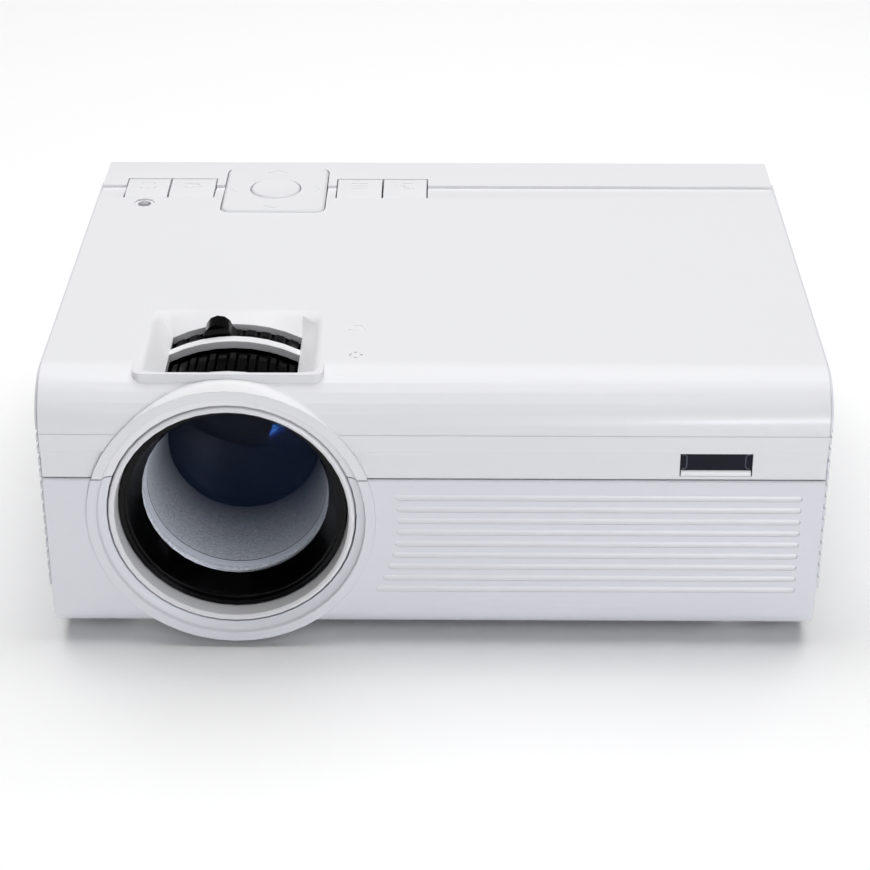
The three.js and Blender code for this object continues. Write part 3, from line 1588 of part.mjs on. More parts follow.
function lampModule() {
  const length = lampBoardLength / 2;
  const tall = lampBoardTall / 2;
  const die = lampSize / 2;
  const back = sinkFront - fit;
  const front = back - boardThickness;
  return block(front, back, beamDepth - length, beamDepth + length, lensHeight - tall, lensHeight + tall)
    .add(block(front - lampProud, front + overrun / 2, beamDepth - die, beamDepth + die, lensHeight - die,
      lensHeight + die));
}

function heatSink() {
  const low = lensHeight - sinkTall / 2;
  const high = lensHeight + sinkTall / 2;
  const near = beamDepth - sinkLength / 2;
  const pitch = (sinkLength - finThickness) / (finCount - 1);
  const root = sinkFront + sinkBase;
  const tip = root + finReach;
  const fins = Array.from({ length: finCount }, (_, i) => {
    const y = near + pitch * i;
    return [at(root, y), at(tip, y), at(tip, y + finThickness), at(root, y + finThickness)];
  }).flat();
  const comb = [at(sinkFront, near), ...fins, at(sinkFront, near + sinkLength)];
  return prismZ(comb.filter((p, i) => i === 0 || !p.equals(comb[i - 1])), low, high);
}

// Fan frame with a hub plate on three arms and a fixed spindle
function fanFrame() {
  const half = fanSize / 2;
  const frame = prismX(roundRect(beamDepth - half, beamDepth + half, lensHeight - half, lensHeight + half,
    wellCorner), fanLeft, fanLeft + fanThickness);
  const bore = prismX(circle(beamDepth, lensHeight, fanBore, innerSteps), fanLeft - overrun,
    fanLeft + fanThickness + overrun);
  const hub = prismX(circle(beamDepth, lensHeight, fanHub, holeSteps), fanLeft, fanLeft + wall);
  const spindle = prismX(circle(beamDepth, lensHeight, fanSpindle, holeSteps / 2), fanLeft,
    fanLeft + fanThickness - wall);
  const arms = Array.from({ length: fanArmCount }, (_, i) => {
    const turn = quarterTurn + fullTurn * i / fanArmCount;
    const arm = new THREE.BoxGeometry(wall, fanBore - fanHub + 2 * fanArm, fanArm);
    arm.translate(wall / 2, (fanBore + fanHub) / 2, 0).rotateX(turn * degrees);
    return solidOf(arm.translate(fanLeft, beamDepth, lensHeight));
  });
  return joined([frame.subtract(bore), hub, spindle, ...arms]);
}

// Rotor: cup over the spindle and pitched blades
function fanRotor() {
  const from = fanLeft + wall + fanClearance;
  const to = fanLeft + fanThickness - fanClearance;
  const middle = (from + to) / 2;
  const cup = prismX(circle(beamDepth, lensHeight, fanHub - fit, innerSteps), from, to);
  const bore = prismX(circle(beamDepth, lensHeight, fanSpindle + fit, holeSteps), from - overrun,
    fanLeft + fanThickness - wall + fit);
  const tip = fanBore - fanClearance;
  const pitch = fanBladePitch * degrees;
  const chord = (to - from) / Math.sin(pitch) - fanBladeThickness;
  const blades = Array.from({ length: fanBlades }, (_, i) => {
    const blade = new THREE.BoxGeometry(chord, tip - fanHub + 2 * overrun, fanBladeThickness);
    blade.rotateY(pitch).translate(0, (tip + fanHub) / 2 - overrun, 0);
    blade.rotateX(fullTurn * i / fanBlades * degrees);
    return solidOf(blade.translate(middle, beamDepth, lensHeight));
  });
  const sweep = prismX(circle(beamDepth, lensHeight, tip, innerSteps), from, to);
  return joined([cup, joined(blades).intersect(sweep)]).subtract(bore);
}

function mainBoard() {
  const middle = (mainBoardLeft + mainBoardRight) / 2;
  const depth = (mainBoardFront + mainBoardRear) / 2;
  const top = mainBoardHeight + boardThickness;
  const half = chipSize / 2;
  return block(mainBoardLeft, mainBoardRight, mainBoardFront, mainBoardRear, mainBoardHeight, top)
    .add(block(middle - half, middle + half, depth - half, depth + half, top - overrun / 2,
      top + chipHeight));
}

function powerBoard() {
  const top = powerBoardHeight + boardThickness;
  const middle = (powerBoardFront + mainBoardRear) / 2;
  const half = coilWidth / 2;
  const coilX = (powerBoardLeft + powerBoardRight) / 2;
  return joined([
    block(powerBoardLeft, powerBoardRight, powerBoardFront, mainBoardRear, powerBoardHeight, top),
    block(coilX - half, coilX + half, middle - half / 2, middle + half / 2, top - overrun / 2,
      top + coilHeight),
    rodZ(powerBoardRight - 2 * capRadius, middle, capRadius, top - overrun / 2, top + capHeight),
  ]);
}

function speaker() {
  const front = speakerFront;
  const back = front + speakerDepth;
  const cone = front + wall;
  const body = new THREE.LatheGeometry([
    [0, cone + magnetRadius / 2],
    [magnetRadius / 2, cone + magnetRadius / 2],
    [speakerRadius - wall, cone],
    [speakerRadius - wall, front],
    [speakerRadius, front],
    [speakerRadius, front + 2 * wall],
    [magnetRadius, back - 2 * wall],
    [magnetRadius, back],
    [0, back],
  ].map(([r, y]) => at(r, y)), holeSteps);
  return solidOf(body.translate(speakerX, 0, speakerHeight));
}

piece('top_cover', topCover(), whiteShell);
piece('lower_case', lowerCase(), whiteShell);
piece('left_side_panel', sidePanel(-1), whiteShell);
piece('right_side_panel', sidePanel(1), whiteShell);
piece('rear_panel', rearPanel(), whiteShell);
piece('lens_bezel', atLens(lensBezel()), whiteShell);
piece('lens_tube', atLens(lensTube()), darkPlastic);
piece('focus_ring', atLens(focusRing()), blackPlastic);
piece('spacer_ring', atLens(spacerRing()), darkPlastic);
piece('keystone_ring', atLens(keystoneRing()), blackPlastic);
piece('lens_barrel', atLens(lensBarrel()), blackPlastic);
piece('front_glass', atLens(frontGlass()), coatedGlass);
piece('silver_cup', atLens(silverCup()), silverPaint);
piece('rear_glass', atLens(rearGlass()), coatedGlass);
piece('lock_ring', atLens(lockRing()), blackPlastic);
smallKeys.forEach(([name, left, width]) => piece(name, key(left, width), whiteShell));
piece('nav_tile', navTile(), whiteShell);
piece('nav_pivot_ring', pivotRing(), darkPlastic);
piece('ok_key', okKey(), whiteShell);
piece('key_board', keyBoard(), boardGreen);
piece('status_light', statusLight(), lightPipe);
piece('ir_window', irWindow(), smokedWindow);
piece('ir_sensor', irSensor(), blackPlastic);
footPlaces.forEach(([name, x, y]) => piece('foot_' + name, foot(x, y), rubber));
screwPlaces.forEach(([name, x, y]) => piece('screw_' + name, caseScrew(x, y), steel));
piece('tripod_bush', tripodBush(), brass);
piece('input_board', inputBoard(), boardGreen);
piece('hdmi_socket', dataSocket(hdmiX, hdmiWidth, hdmiHeight, hdmiTongueShare), steel);
piece('usb_socket', dataSocket(usbX, usbWidth, usbHeight, usbTongueShare), steel);
piece('card_socket', cardSocket(), steel);
piece('audio_socket', audioSocket(), blackPlastic);
piece('power_inlet', powerInlet(), blackPlastic);
piece('optical_box', opticalBox(), darkPlastic);
piece('optical_lid', opticalLid(), darkPlastic);
piece('fold_mirror', foldMirror(), mirrorFilm);
piece('field_fresnel', fresnel(fieldFresnelShare), coatedGlass);
piece('collimator_fresnel', fresnel(collimatorShare), coatedGlass);
piece('condenser_lens', condenser(), coatedGlass);
piece('panel_carrier', panelCarrier(), darkPlastic);
piece('picture_panel', picturePanel(), smokedWindow);
piece('lamp_module', lampModule(), lampYellow);
piece('heat_sink', heatSink(), aluminium);
piece('fan_frame', fanFrame(), darkPlastic);
piece('fan_rotor', fanRotor(), blackPlastic);
piece('main_board', mainBoard(), boardGreen);
piece('power_board', powerBoard(), boardGreen);
piece('speaker', speaker(), darkPlastic);

export default projector;
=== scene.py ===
"""Studio scene of a compact white projector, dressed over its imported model.

Lengths are metres unless a name ends in _mm. The lens looks along -Y and +Z is up.
"""

import logging
import math
from dataclasses import dataclass
from enum import Enum
from typing import Any, Sequence

import bmesh
import bpy
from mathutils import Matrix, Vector


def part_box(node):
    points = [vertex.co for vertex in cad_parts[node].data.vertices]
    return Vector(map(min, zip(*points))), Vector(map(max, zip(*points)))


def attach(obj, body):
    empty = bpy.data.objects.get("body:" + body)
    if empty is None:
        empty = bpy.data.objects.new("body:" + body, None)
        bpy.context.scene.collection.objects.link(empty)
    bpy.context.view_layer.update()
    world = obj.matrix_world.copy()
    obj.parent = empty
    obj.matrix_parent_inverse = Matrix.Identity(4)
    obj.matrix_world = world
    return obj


log = logging.getLogger("projector")

MM = 0.001
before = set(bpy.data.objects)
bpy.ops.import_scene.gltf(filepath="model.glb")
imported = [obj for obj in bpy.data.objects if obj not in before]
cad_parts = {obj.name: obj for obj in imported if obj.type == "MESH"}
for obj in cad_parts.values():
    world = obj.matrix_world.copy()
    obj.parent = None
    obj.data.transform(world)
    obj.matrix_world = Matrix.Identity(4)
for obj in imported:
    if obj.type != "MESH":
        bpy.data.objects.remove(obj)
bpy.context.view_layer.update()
Point = tuple[float, float]
Place = tuple[float, float, float]
Colour = tuple[float, float, float, float]

# The sRGB curve: a straight foot up to the knee, then a power.
SRGB_KNEE = 0.04045
SRGB_FOOT = 12.92
SRGB_SHIFT = 0.055
SRGB_POWER = 2.4

# Colour sockets of the mix node, which share their names with its other modes.
MIX_A = 6
MIX_B = 7
MIX_RESULT = 2


def linear(code: str) -> Colour:
    """Turns an sRGB hex colour to linear.

    Args:
        code: six hex digits.

    Returns:
        Linear red, green and blue, and an alpha of one.
    """
    parts = [int(code[i : i + 2], 16) / 255 for i in (0, 2, 4)]
    red, green, blue = [
        part / SRGB_FOOT
        if part <= SRGB_KNEE
        else ((part + SRGB_SHIFT) / (1 + SRGB_SHIFT)) ** SRGB_POWER
        for part in parts
    ]
    return red, green, blue, 1.0


def add_node(
    tree: bpy.types.NodeTree,
    kind: str,
    values: dict[Any, Any] | None = None,
    links: dict[Any, bpy.types.NodeSocket] | None = None,
    **settings: Any,
) -> bpy.types.Node:
    """Adds a node with its settings, socket values and links.

    Args:
        tree: the node tree.
        kind: the node's type name.
        values: socket to value.
        links: socket to the output that feeds it.
        **settings: properties of the node.

    Returns:
        The new node.
    """
    node = tree.nodes.new(kind)
    for name, value in settings.items():
        setattr(node, name, value)
    for socket, value in (values or {}).items():
        node.inputs[socket].default_value = value
    for socket, source in (links or {}).items():
        tree.links.new(source, node.inputs[socket])
    return node


def new_tree(
    name: str,
) -> tuple[bpy.types.Material, bpy.types.NodeTree, bpy.types.Node]:
    """Makes an empty node material.

    Args:
        name: the material's name.

    Returns:
        The material, its tree and its output node.
    """
    material = bpy.data.materials.new(name)
    material.use_nodes = True
    tree = material.node_tree
    tree.nodes.clear()
    return material, tree, add_node(tree, "ShaderNodeOutputMaterial")


def make_piece(
    name: str,
    mesh: bmesh.types.BMesh,
    material: bpy.types.Material,
    body: str,
) -> bpy.types.Object:
    """Turns a finished mesh into a piece that rides on its body.

    Args:
        name: the piece's name.
        mesh: its mesh, which is used up.
        material: its material.
        body: the body that carries it.

    Returns:
        The new piece.
    """
    bmesh.ops.recalc_face_normals(mesh, faces=mesh.faces)
    data = bpy.data.meshes.new(name)
    mesh.to_mesh(data)
    mesh.free()
    data.materials.append(material)
    piece = bpy.data.objects.new(name, data)
    bpy.context.scene.collection.objects.link(piece)
    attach(piece, body)
    log.info("%s rides on %s", name, body)
    return piece


@dataclass(frozen=True)
class MouldedPlastic:
    """Injection-moulded plastic: an even skin with a fine spark-eroded grain.

    The grain breaks the highlight up a little, and edges are softened by the tool's
    radii.
    """

    name: str
    colour: str
    tint: str
    roughness: float
    grain_mm: float = 0.35
    grain_depth_mm: float = 0.004
    coat: float = 0.0
    coat_roughness: float = 0.1
    edge_mm: float = 0.25
    ior: float = 1.53
    patch_mm: float = 60.0
    roughness_swing: float = 0.04
    gloss: float = 0.5
    patch_detail: float = 3.0
    grain_detail: float = 2.0
    edge_samples: int = 4

    def make(self) -> bpy.types.Material:
        """Builds the material.

        Returns:
            The node material.
        """
        material, tree, output = new_tree(self.name)
        place = add_node(tree, "ShaderNodeTexCoord").outputs["Object"]
        patches = add_node(
            tree,
            "ShaderNodeTexNoise",
            {"Scale": 1 / (self.patch_mm * MM), "Detail": self.patch_detail},
            {"Vector": place},
        )
        colour = add_node(
            tree,
            "ShaderNodeMix",
            {MIX_A: linear(self.colour), MIX_B: linear(self.tint)},
            {"Factor": patches.outputs["Fac"]},
            data_type="RGBA",
        )
        rough = add_node(
            tree,
            "ShaderNodeMapRange",
            {
                "To Min": self.roughness - self.roughness_swing,
                "To Max": self.roughness + self.roughness_swing,
            },
            {"Value": patches.outputs["Fac"]},
        )
        grain = add_node(
            tree,
            "ShaderNodeTexNoise",
            {"Scale": 1 / (self.grain_mm * MM), "Detail": self.grain_detail},
            {"Vector": place},
        )
        edge = add_node(
            tree,
            "ShaderNodeBevel",
            {"Radius": self.edge_mm * MM},
            samples=self.edge_samples,
        )
        bump = add_node(
            tree,
            "ShaderNodeBump",
            {"Strength": 1.0, "Distance": self.grain_depth_mm * MM},
            {"Height": grain.outputs["Fac"], "Normal": edge.outputs["Normal"]},
        )
        shader = add_node(
            tree,
            "ShaderNodeBsdfPrincipled",
            {
                "IOR": self.ior,
                "Specular IOR Level": self.gloss,
                "Coat Weight": self.coat,
                "Coat Roughness": self.coat_roughness,
            },
            {
                "Base Color": colour.outputs[MIX_RESULT],
                "Roughness": rough.outputs["Result"],
                "Normal": bump.outputs["Normal"],
            },
        )
        tree.links.new(shader.outputs["BSDF"], output.inputs["Surface"])
        return material


@dataclass(frozen=True)
class MetalFinish:
    """Metal or metallic paint: a bare or flaked surface with a fine grain.

    A flake colour makes the paint sparkle, and a second colour adds painted shade,
    darkening the paint toward the back of the piece from a given share of its depth on.
    """

    name: str
    colour: str
    roughness: float
    grain_mm: float = 0.3
    grain_depth_mm: float = 0.006
    grain_detail: float = 2.0
    roughness_swing: float = 0.1
    stretch: Place = (1.0, 1.0, 1.0)
    metallic: float = 1.0
    flake: str = ""
    painted_shade: str = ""
    painted_shade_from: float = 0.0

    def make(self) -> bpy.types.Material:
        """Builds the material.

        Returns:
            The node material.
        """
        material, tree, output = new_tree(self.name)
        place = add_node(tree, "ShaderNodeTexCoord").outputs["Object"]
        spread = add_node(
            tree, "ShaderNodeMapping", {"Scale": self.stretch}, {"Vector": place}
        )
        grain = add_node(
            tree,
            "ShaderNodeTexNoise",
            {"Scale": 1 / (self.grain_mm * MM), "Detail": self.grain_detail},
            {"Vector": spread.outputs["Vector"]},
        )
        rough = add_node(
            tree,
            "ShaderNodeMapRange",
            {
                "To Min": self.roughness - self.roughness_swing,
                "To Max": self.roughness + self.roughness_swing,
            },
            {"Value": grain.outputs["Fac"]},
        )
        bump = add_node(
            tree,
            "ShaderNodeBump",
            {"Strength": 1.0, "Distance": self.grain_depth_mm * MM},
            {"Height": grain.outputs["Fac"]},
        )
        shader = add_node(
            tree,
            "ShaderNodeBsdfPrincipled",
            {"Metallic": self.metallic, "Base Color": linear(self.colour)},
            {"Roughness": rough.outputs["Result"], "Normal": bump.outputs["Normal"]},
        )
        if self.flake:
            paint = self.paint(tree, grain.outputs["Fac"])
            tree.links.new(paint, shader.inputs["Base Color"])
        tree.links.new(shader.outputs["BSDF"], output.inputs["Surface"])
        return material

    def paint(
        self, tree: bpy.types.NodeTree, grain: bpy.types.NodeSocket
    ) -> bpy.types.NodeSocket:
        """Mixes the flakes in and adds painted shade toward the back of the piece.

        Args:
            tree: the material's tree.
            grain: the pattern of the flakes.

        Returns:
            The colour.
        """
        flaked = add_node(
            tree,
            "ShaderNodeMix",
            {MIX_A: linear(self.flake), MIX_B: linear(self.colour)},
            {"Factor": grain},
            data_type="RGBA",
        )
        if not self.painted_shade:
            return flaked.outputs[MIX_RESULT]
        # Painted shade: the colour turns darker toward the back of the piece.
        box = add_node(tree, "ShaderNodeTexCoord").outputs["Generated"]
        axes = add_node(tree, "ShaderNodeSeparateXYZ", None, {"Vector": box})
        depth = add_node(
            tree,
            "ShaderNodeMapRange",
            {"From Min": self.painted_shade_from},
            {"Value": axes.outputs["Y"]},
        )
        painted_shade_mix = add_node(
            tree,
            "ShaderNodeMix",
            {MIX_B: linear(self.painted_shade)},
            {"Factor": depth.outputs["Result"], MIX_A: flaked.outputs[MIX_RESULT]},
            data_type="RGBA",
        )
        return painted_shade_mix.outputs[MIX_RESULT]


@dataclass(frozen=True)
class CoatedGlass:
    """Polished optical glass with an anti-reflection coating.

    The coating lets a few hundredths of the usual reflection through, tinted by what
    is left. A faint smear makes its roughness uneven.
    """

    name: str
    colour: str
    residue: str
    transmission: float = 1.0
    roughness: float = 0.0
    ior: float = 1.52
    smear_mm: float = 9.0
    smear_detail: float = 3.0
    roughness_swing: float = 0.02

    def make(self) -> bpy.types.Material:
        """Builds the material.

        Returns:
            The node material.
        """
        material, tree, output = new_tree(self.name)
        place = add_node(tree, "ShaderNodeTexCoord").outputs["Object"]
        smear = add_node(
            tree,
            "ShaderNodeTexNoise",
            {"Scale": 1 / (self.smear_mm * MM), "Detail": self.smear_detail},
            {"Vector": place},
        )
        rough = add_node(
            tree,
            "ShaderNodeMapRange",
            {
                "To Min": self.roughness,
                "To Max": self.roughness + self.roughness_swing,
            },
            {"Value": smear.outputs["Fac"]},
        )
        shader = add_node(
            tree,
            "ShaderNodeBsdfPrincipled",
            {
                "Base Color": linear(self.colour),
                "IOR": self.ior,
                "Transmission Weight": self.transmission,
                "Specular Tint": linear(self.residue),
            },
            {"Roughness": rough.outputs["Result"]},
        )
        tree.links.new(shader.outputs["BSDF"], output.inputs["Surface"])
        return material


class Finish(Enum):
    """Every finish of the projector, named for its real material and process."""

    # Injection-moulded ABS from a polished tool: even white, a soft wide highlight
    # on the rolled edge.
    TOP_SHELL = MouldedPlastic(
        "polished_white_abs",
        "E6E6E8",
        "E4E4E7",
        roughness=0.3,
        grain_mm=0.5,
        grain_depth_mm=0.0015,
        coat=0.06,
        coat_roughness=0.12,
        gloss=0.32,
    )
    # ABS from a spark-eroded tool: a slightly cooler white with a fine orange-peel
    # grain, so the front has no mirror image in it. Its white is a little darker than
    # the top shell's, partly painted shade for the front, which gets less light than
    # the top.
    LOW_SHELL = MouldedPlastic(
        "spark_eroded_white_abs",
        "DEDFE4",
        "DCDDE3",
        roughness=0.42,
        grain_mm=0.6,
        grain_depth_mm=0.011,
    )
    # ABS louvres, duller than the top shell: the bars read by their shade.
    PANEL = MouldedPlastic(
        "moulded_white_abs_louvre",
        "DEDFE4",
        "DBDCE2",
        roughness=0.4,
        grain_mm=0.45,
        grain_depth_mm=0.005,
    )
    # Hard key plastic with rounded edges: each key has its own fine edge light.
    KEY = MouldedPlastic(
        "moulded_white_key_plastic",
        "E4E4E6",
        "E2E2E5",
        roughness=0.38,
        grain_mm=0.4,
        grain_depth_mm=0.003,
        edge_mm=0.35,
    )
    # Raised signs, groove floors and the window's sill, moulded in one with the
    # shell. Their white is lighter than the shells': painted highlight for the light
    # that their edges and slopes catch.
    EMBOSS = MouldedPlastic(
        "raised_white_abs_mark",
        "EDEDEF",
        "EAEAED",
        roughness=0.35,
        grain_mm=0.4,
        grain_depth_mm=0.002,
        edge_mm=0.06,
    )
    # Acetal, moulded and glossy: deep black with thin streaks of light on the teeth.
    WHEEL = MouldedPlastic(
        "moulded_black_pom_wheel",
        "020203",
        "040405",
        roughness=0.16,
        grain_mm=0.4,
        grain_depth_mm=0.0015,
        gloss=0.16,
    )
    # ABS polished to piano black: the cone swallows light and shows soft glints.
    BARREL = MouldedPlastic(
        "polished_black_abs",
        "030304",
        "050506",
        roughness=0.12,
        grain_mm=0.6,
        grain_depth_mm=0.0008,
        coat=0.07,
        coat_roughness=0.05,
        edge_mm=0.2,
        gloss=0.11,
    )
    # Matt black polycarbonate of the inner frames: no glints behind the lens.
    DARK = MouldedPlastic(
        "matt_black_polycarbonate",
        "0C0C0E",
        "101013",
        roughness=0.6,
        grain_mm=0.4,
        grain_depth_mm=0.01,
    )
    # Glass-filled nylon of the sockets and the fan: a dry dark grey.
    SOCKET = MouldedPlastic(
        "moulded_black_nylon",
        "121214",
        "18181B",
        roughness=0.45,
        grain_mm=0.4,
        grain_depth_mm=0.006,
    )
    # Silicone rubber, moulded: dull, slightly yellow white with no highlight.
    RUBBER = MouldedPlastic(
        "moulded_pale_silicone_rubber",
        "DADAD6",
        "D2D2CE",
        roughness=0.75,
        grain_mm=0.6,
        grain_depth_mm=0.012,
    )
    # Solder mask on glass-fibre board: glossy green seen through the louvres.
    BOARD = MouldedPlastic(
        "green_solder_mask",
        "1D5A38",
        "174C30",
        roughness=0.35,
        grain_mm=0.8,
        grain_depth_mm=0.006,
        coat=0.3,
    )
    # Phosphor cap of the lamp: flat warm yellow.
    PHOSPHOR = MouldedPlastic(
        "yellow_lamp_phosphor",
        "E2CB3E",
        "D8BF34",
        roughness=0.5,
        grain_mm=0.3,
    )
    # Smoked acrylic that only infrared passes: near black with a blue cast.
    WINDOW = MouldedPlastic(
        "polished_smoked_acrylic",
        "1B1F2A",
        "12151E",
        roughness=0.08,
        grain_mm=0.8,
        grain_depth_mm=0.0004,
        edge_mm=0.15,
        patch_mm=9.0,
        gloss=0.12,
    )
    # Frosted acrylic: a milky grey dome.
    LIGHT_PIPE = MouldedPlastic(
        "frosted_acrylic_light_pipe",
        "B4B4B6",
        "ACACB0",
        roughness=0.3,
        grain_mm=0.3,
        coat=0.3,
    )
    # Moulded catches of the smoked acrylic, drawn paler than the window: painted
    # highlight along each outline.
    CLIP = MouldedPlastic(
        "smoked_acrylic_clip",
        "3E4552",
        "383E4A",
        roughness=0.3,
        grain_mm=0.4,
        grain_depth_mm=0.002,
        edge_mm=0.05,
    )
    # A lighter band of silver at the cup's mouth: painted highlight, a bright even
    # ring.
    BRIGHT_RIM = MetalFinish(
        "silver_rim_painted_highlight",
        "DCDEE2",
        roughness=0.4,
        grain_mm=0.4,
        roughness_swing=0.06,
        metallic=0.25,
    )
    # Silver paint, sprayed: flakes that sparkle, drawn coarser than real ones (about
    # 0.05 mm) so that they show. Toward the throat it carries painted shade, a dark
    # stand-in for the strong front lens, which hides that part of the cup.
    SILVER = MetalFinish(
        "sprayed_silver_paint_with_painted_shade",
        "F4F6F8",
        roughness=0.42,
        grain_mm=0.5,
        grain_depth_mm=0.02,
        metallic=0.35,
        flake="7C7E82",
        painted_shade="0A0B0E",
        painted_shade_from=0.2,
    )
    # Extruded aluminium fins: fine lines along the draw.
    ALUMINIUM = MetalFinish(
        "extruded_aluminium",
        "BDBFC3",
        roughness=0.35,
        grain_depth_mm=0.004,
        roughness_swing=0.08,
        stretch=(1.0, 1.0, 0.05),
    )
    # Nickel-plated steel of screws and socket shells: bright grey, small glints.
    STEEL = MetalFinish(
        "nickel_plated_steel",
        "A9ABAF",
        roughness=0.3,
        grain_mm=0.4,
        grain_depth_mm=0.002,
        roughness_swing=0.05,
    )
    # Turned brass: warm, with rings from the tool.
    BRASS = MetalFinish(
        "turned_brass",
        "C2A15A",
        roughness=0.3,
        grain_mm=0.25,
        grain_depth_mm=0.003,
        roughness_swing=0.06,
        stretch=(1.0, 1.0, 8.0),
    )
    # Front-coated mirror: clean reflection, hidden in use.
    MIRROR = MetalFinish(
        "evaporated_mirror",
        "F2F4F6",
        roughness=0.03,
        grain_mm=3.0,
        grain_depth_mm=0.0,
        roughness_swing=0.01,
    )
    # Crown glass, polished and coated: clear, with a faint blue image of the lights.
    FRONT_GLASS = CoatedGlass("blue_coated_crown_glass", "F6F8FD", "163A70")
    # Flint glass before the dark optical box: it reads as a violet-black disc.
    REAR_GLASS = CoatedGlass(
        "violet_coated_flint_glass",
        "010102",
        "050C22",
        transmission=0.0,
        roughness=0.02,
        ior=1.62,
    )
    # Moulded acrylic of the condenser and the ribbed lenses: clear, slightly soft.
    OPTIC = CoatedGlass(
        "moulded_optical_acrylic", "F2F5FA", "FFFFFF", roughness=0.02, ior=1.49
    )


class Finishes:
    """Materials of the scene, each made once."""

    def __init__(self) -> None:
        """Starts with none made."""
        self._made: dict[Finish, bpy.types.Material] = {}

    def get(self, finish: Finish) -> bpy.types.Material:
        """Gives a finish's material.

        Args:
            finish: the finish.

        Returns:
            Its material.
        """
        if finish not in self._made:
            self._made[finish] = finish.value.make()
        return self._made[finish]


@dataclass(frozen=True)
class CornerSmoothing:
    """Shading of the moulded skins: round stretches smooth, true corners crisp."""

    name: str = "smooth_round_stretches"
    corner: float = math.radians(31)
    weld_mm: float = 0.002

    def tree(self) -> bpy.types.NodeTree:
        """Builds the modifier's nodes.

        Returns:
            The geometry node group.
        """
        group = bpy.data.node_groups.new(self.name, "GeometryNodeTree")
        for side in ("INPUT", "OUTPUT"):
            group.interface.new_socket(
                "Geometry", in_out=side, socket_type="NodeSocketGeometry"
            )
        entry = add_node(group, "NodeGroupInput")
        weld = add_node(
            group,
            "GeometryNodeMergeByDistance",
            {"Distance": self.weld_mm * MM},
            {"Geometry": entry.outputs["Geometry"]},
        )
        faces = add_node(
            group,
            "GeometryNodeSetShadeSmooth",
            {"Shade Smooth": True},
            {"Geometry": weld.outputs["Geometry"]},
            domain="FACE",
        )
        angle = add_node(group, "GeometryNodeInputMeshEdgeAngle")
        sharp = add_node(
            group,
            "FunctionNodeCompare",
            {"B": self.corner},
            {"A": angle.outputs["Unsigned Angle"]},
            data_type="FLOAT",
            operation="GREATER_THAN",
        )
        edges = add_node(
            group,
            "GeometryNodeSetShadeSmooth",
            {"Shade Smooth": False},
            {
                "Geometry": faces.outputs["Geometry"],
                "Selection": sharp.outputs["Result"],
            },
            domain="EDGE",
        )
        shaded = edges.outputs["Geometry"]
        add_node(group, "NodeGroupOutput", None, {"Geometry": shaded})
        return group


class Dresser:
    """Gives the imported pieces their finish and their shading."""

    def __init__(self, finishes: Finishes) -> None:
        """Keeps the finishes and builds the shading.

        Args:
            finishes: the scene's materials.
        """
        self.finishes = finishes
        self.smoothing = CornerSmoothing().tree()

    def smooth(self, piece: bpy.types.Object) -> None:
        """Adds the shading modifiers to a piece: large flat faces stay flat.

        Args:
            piece: the piece.
        """
        modifier = piece.modifiers.new(self.smoothing.name, "NODES")
        modifier.node_group = self.smoothing
        weights = piece.modifiers.new("flat_faces_stay_flat", "WEIGHTED_NORMAL")
        weights.mode = "FACE_AREA"
        weights.keep_sharp = True

    def dress(self, finish: Finish, *names: str) -> None:
        """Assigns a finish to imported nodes.

        Args:
            finish: the finish.
            *names: the nodes.
        """
        material = self.finishes.get(finish)
        for name in names:
            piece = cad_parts[name]
            piece.data.materials.clear()
            piece.data.materials.append(material)
            self.smooth(piece)
        log.info("%s on %s", material.name, ", ".join(names))


@dataclass
class Casing:
    """Outer shells, panels and feet."""

    upper: tuple[str, ...] = ("top_cover", "lens_bezel")
    lower: tuple[str, ...] = ("lower_case", "rear_panel")
    panels: tuple[str, ...] = ("left_side_panel", "right_side_panel")
    feet: tuple[str, ...] = (
        "foot_front_left",
        "foot_front_right",
        "foot_rear_left",
        "foot_rear_right",
    )
    screws: tuple[str, ...] = (
        "screw_front_left",
        "screw_front_right",
        "screw_rear_left",
        "screw_rear_right",
    )

    def build(self, dresser: Dresser) -> None:
        """Dresses the casing's nodes.

        Args:
            dresser: gives the finishes.
        """
        dresser.dress(Finish.TOP_SHELL, *self.upper)
        dresser.dress(Finish.LOW_SHELL, *self.lower)
        dresser.dress(Finish.PANEL, *self.panels)
        dresser.dress(Finish.RUBBER, *self.feet)
        dresser.dress(Finish.STEEL, *self.screws)
        dresser.dress(Finish.BRASS, "tripod_bush")
        dresser.dress(Finish.WINDOW, "ir_window")
        dresser.dress(Finish.LIGHT_PIPE, "status_light")


@dataclass(frozen=True)
class TurnedBand:
    """A thin band inside a cone around the lens axis, which rides on the barrel."""

    name: str
    middle: Point
    thickness: float
    steps: int = 96

    def build(
        self, ends: Sequence[Point], material: bpy.types.Material, slot: str
    ) -> None:
        """Makes the band.

        Args:
            ends: radius and depth of its two edges.
            material: its material.
            slot: not used.
        """
        mesh = bmesh.new()
        inside = [(radius - self.thickness, depth) for radius, depth in reversed(ends)]
        profile = [*ends, *inside]
        rings = []
        for step in range(self.steps):
            turn = math.tau * step / self.steps
            across, up = math.cos(turn), math.sin(turn)
            rings.append(
                [
                    mesh.verts.new(
                        (
                            self.middle[0] + radius * across,
                            depth,
                            self.middle[1] + radius * up,
                        )
                    )
                    for radius, depth in profile
                ]
            )
        count = len(profile)
        for first, second in zip(rings, rings[1:] + rings[:1]):
            for i in range(count):
                j = (i + 1) % count
                mesh.faces.new((first[i], first[j], second[j], second[i]))
        make_piece(self.name, mesh, material, "barrel")


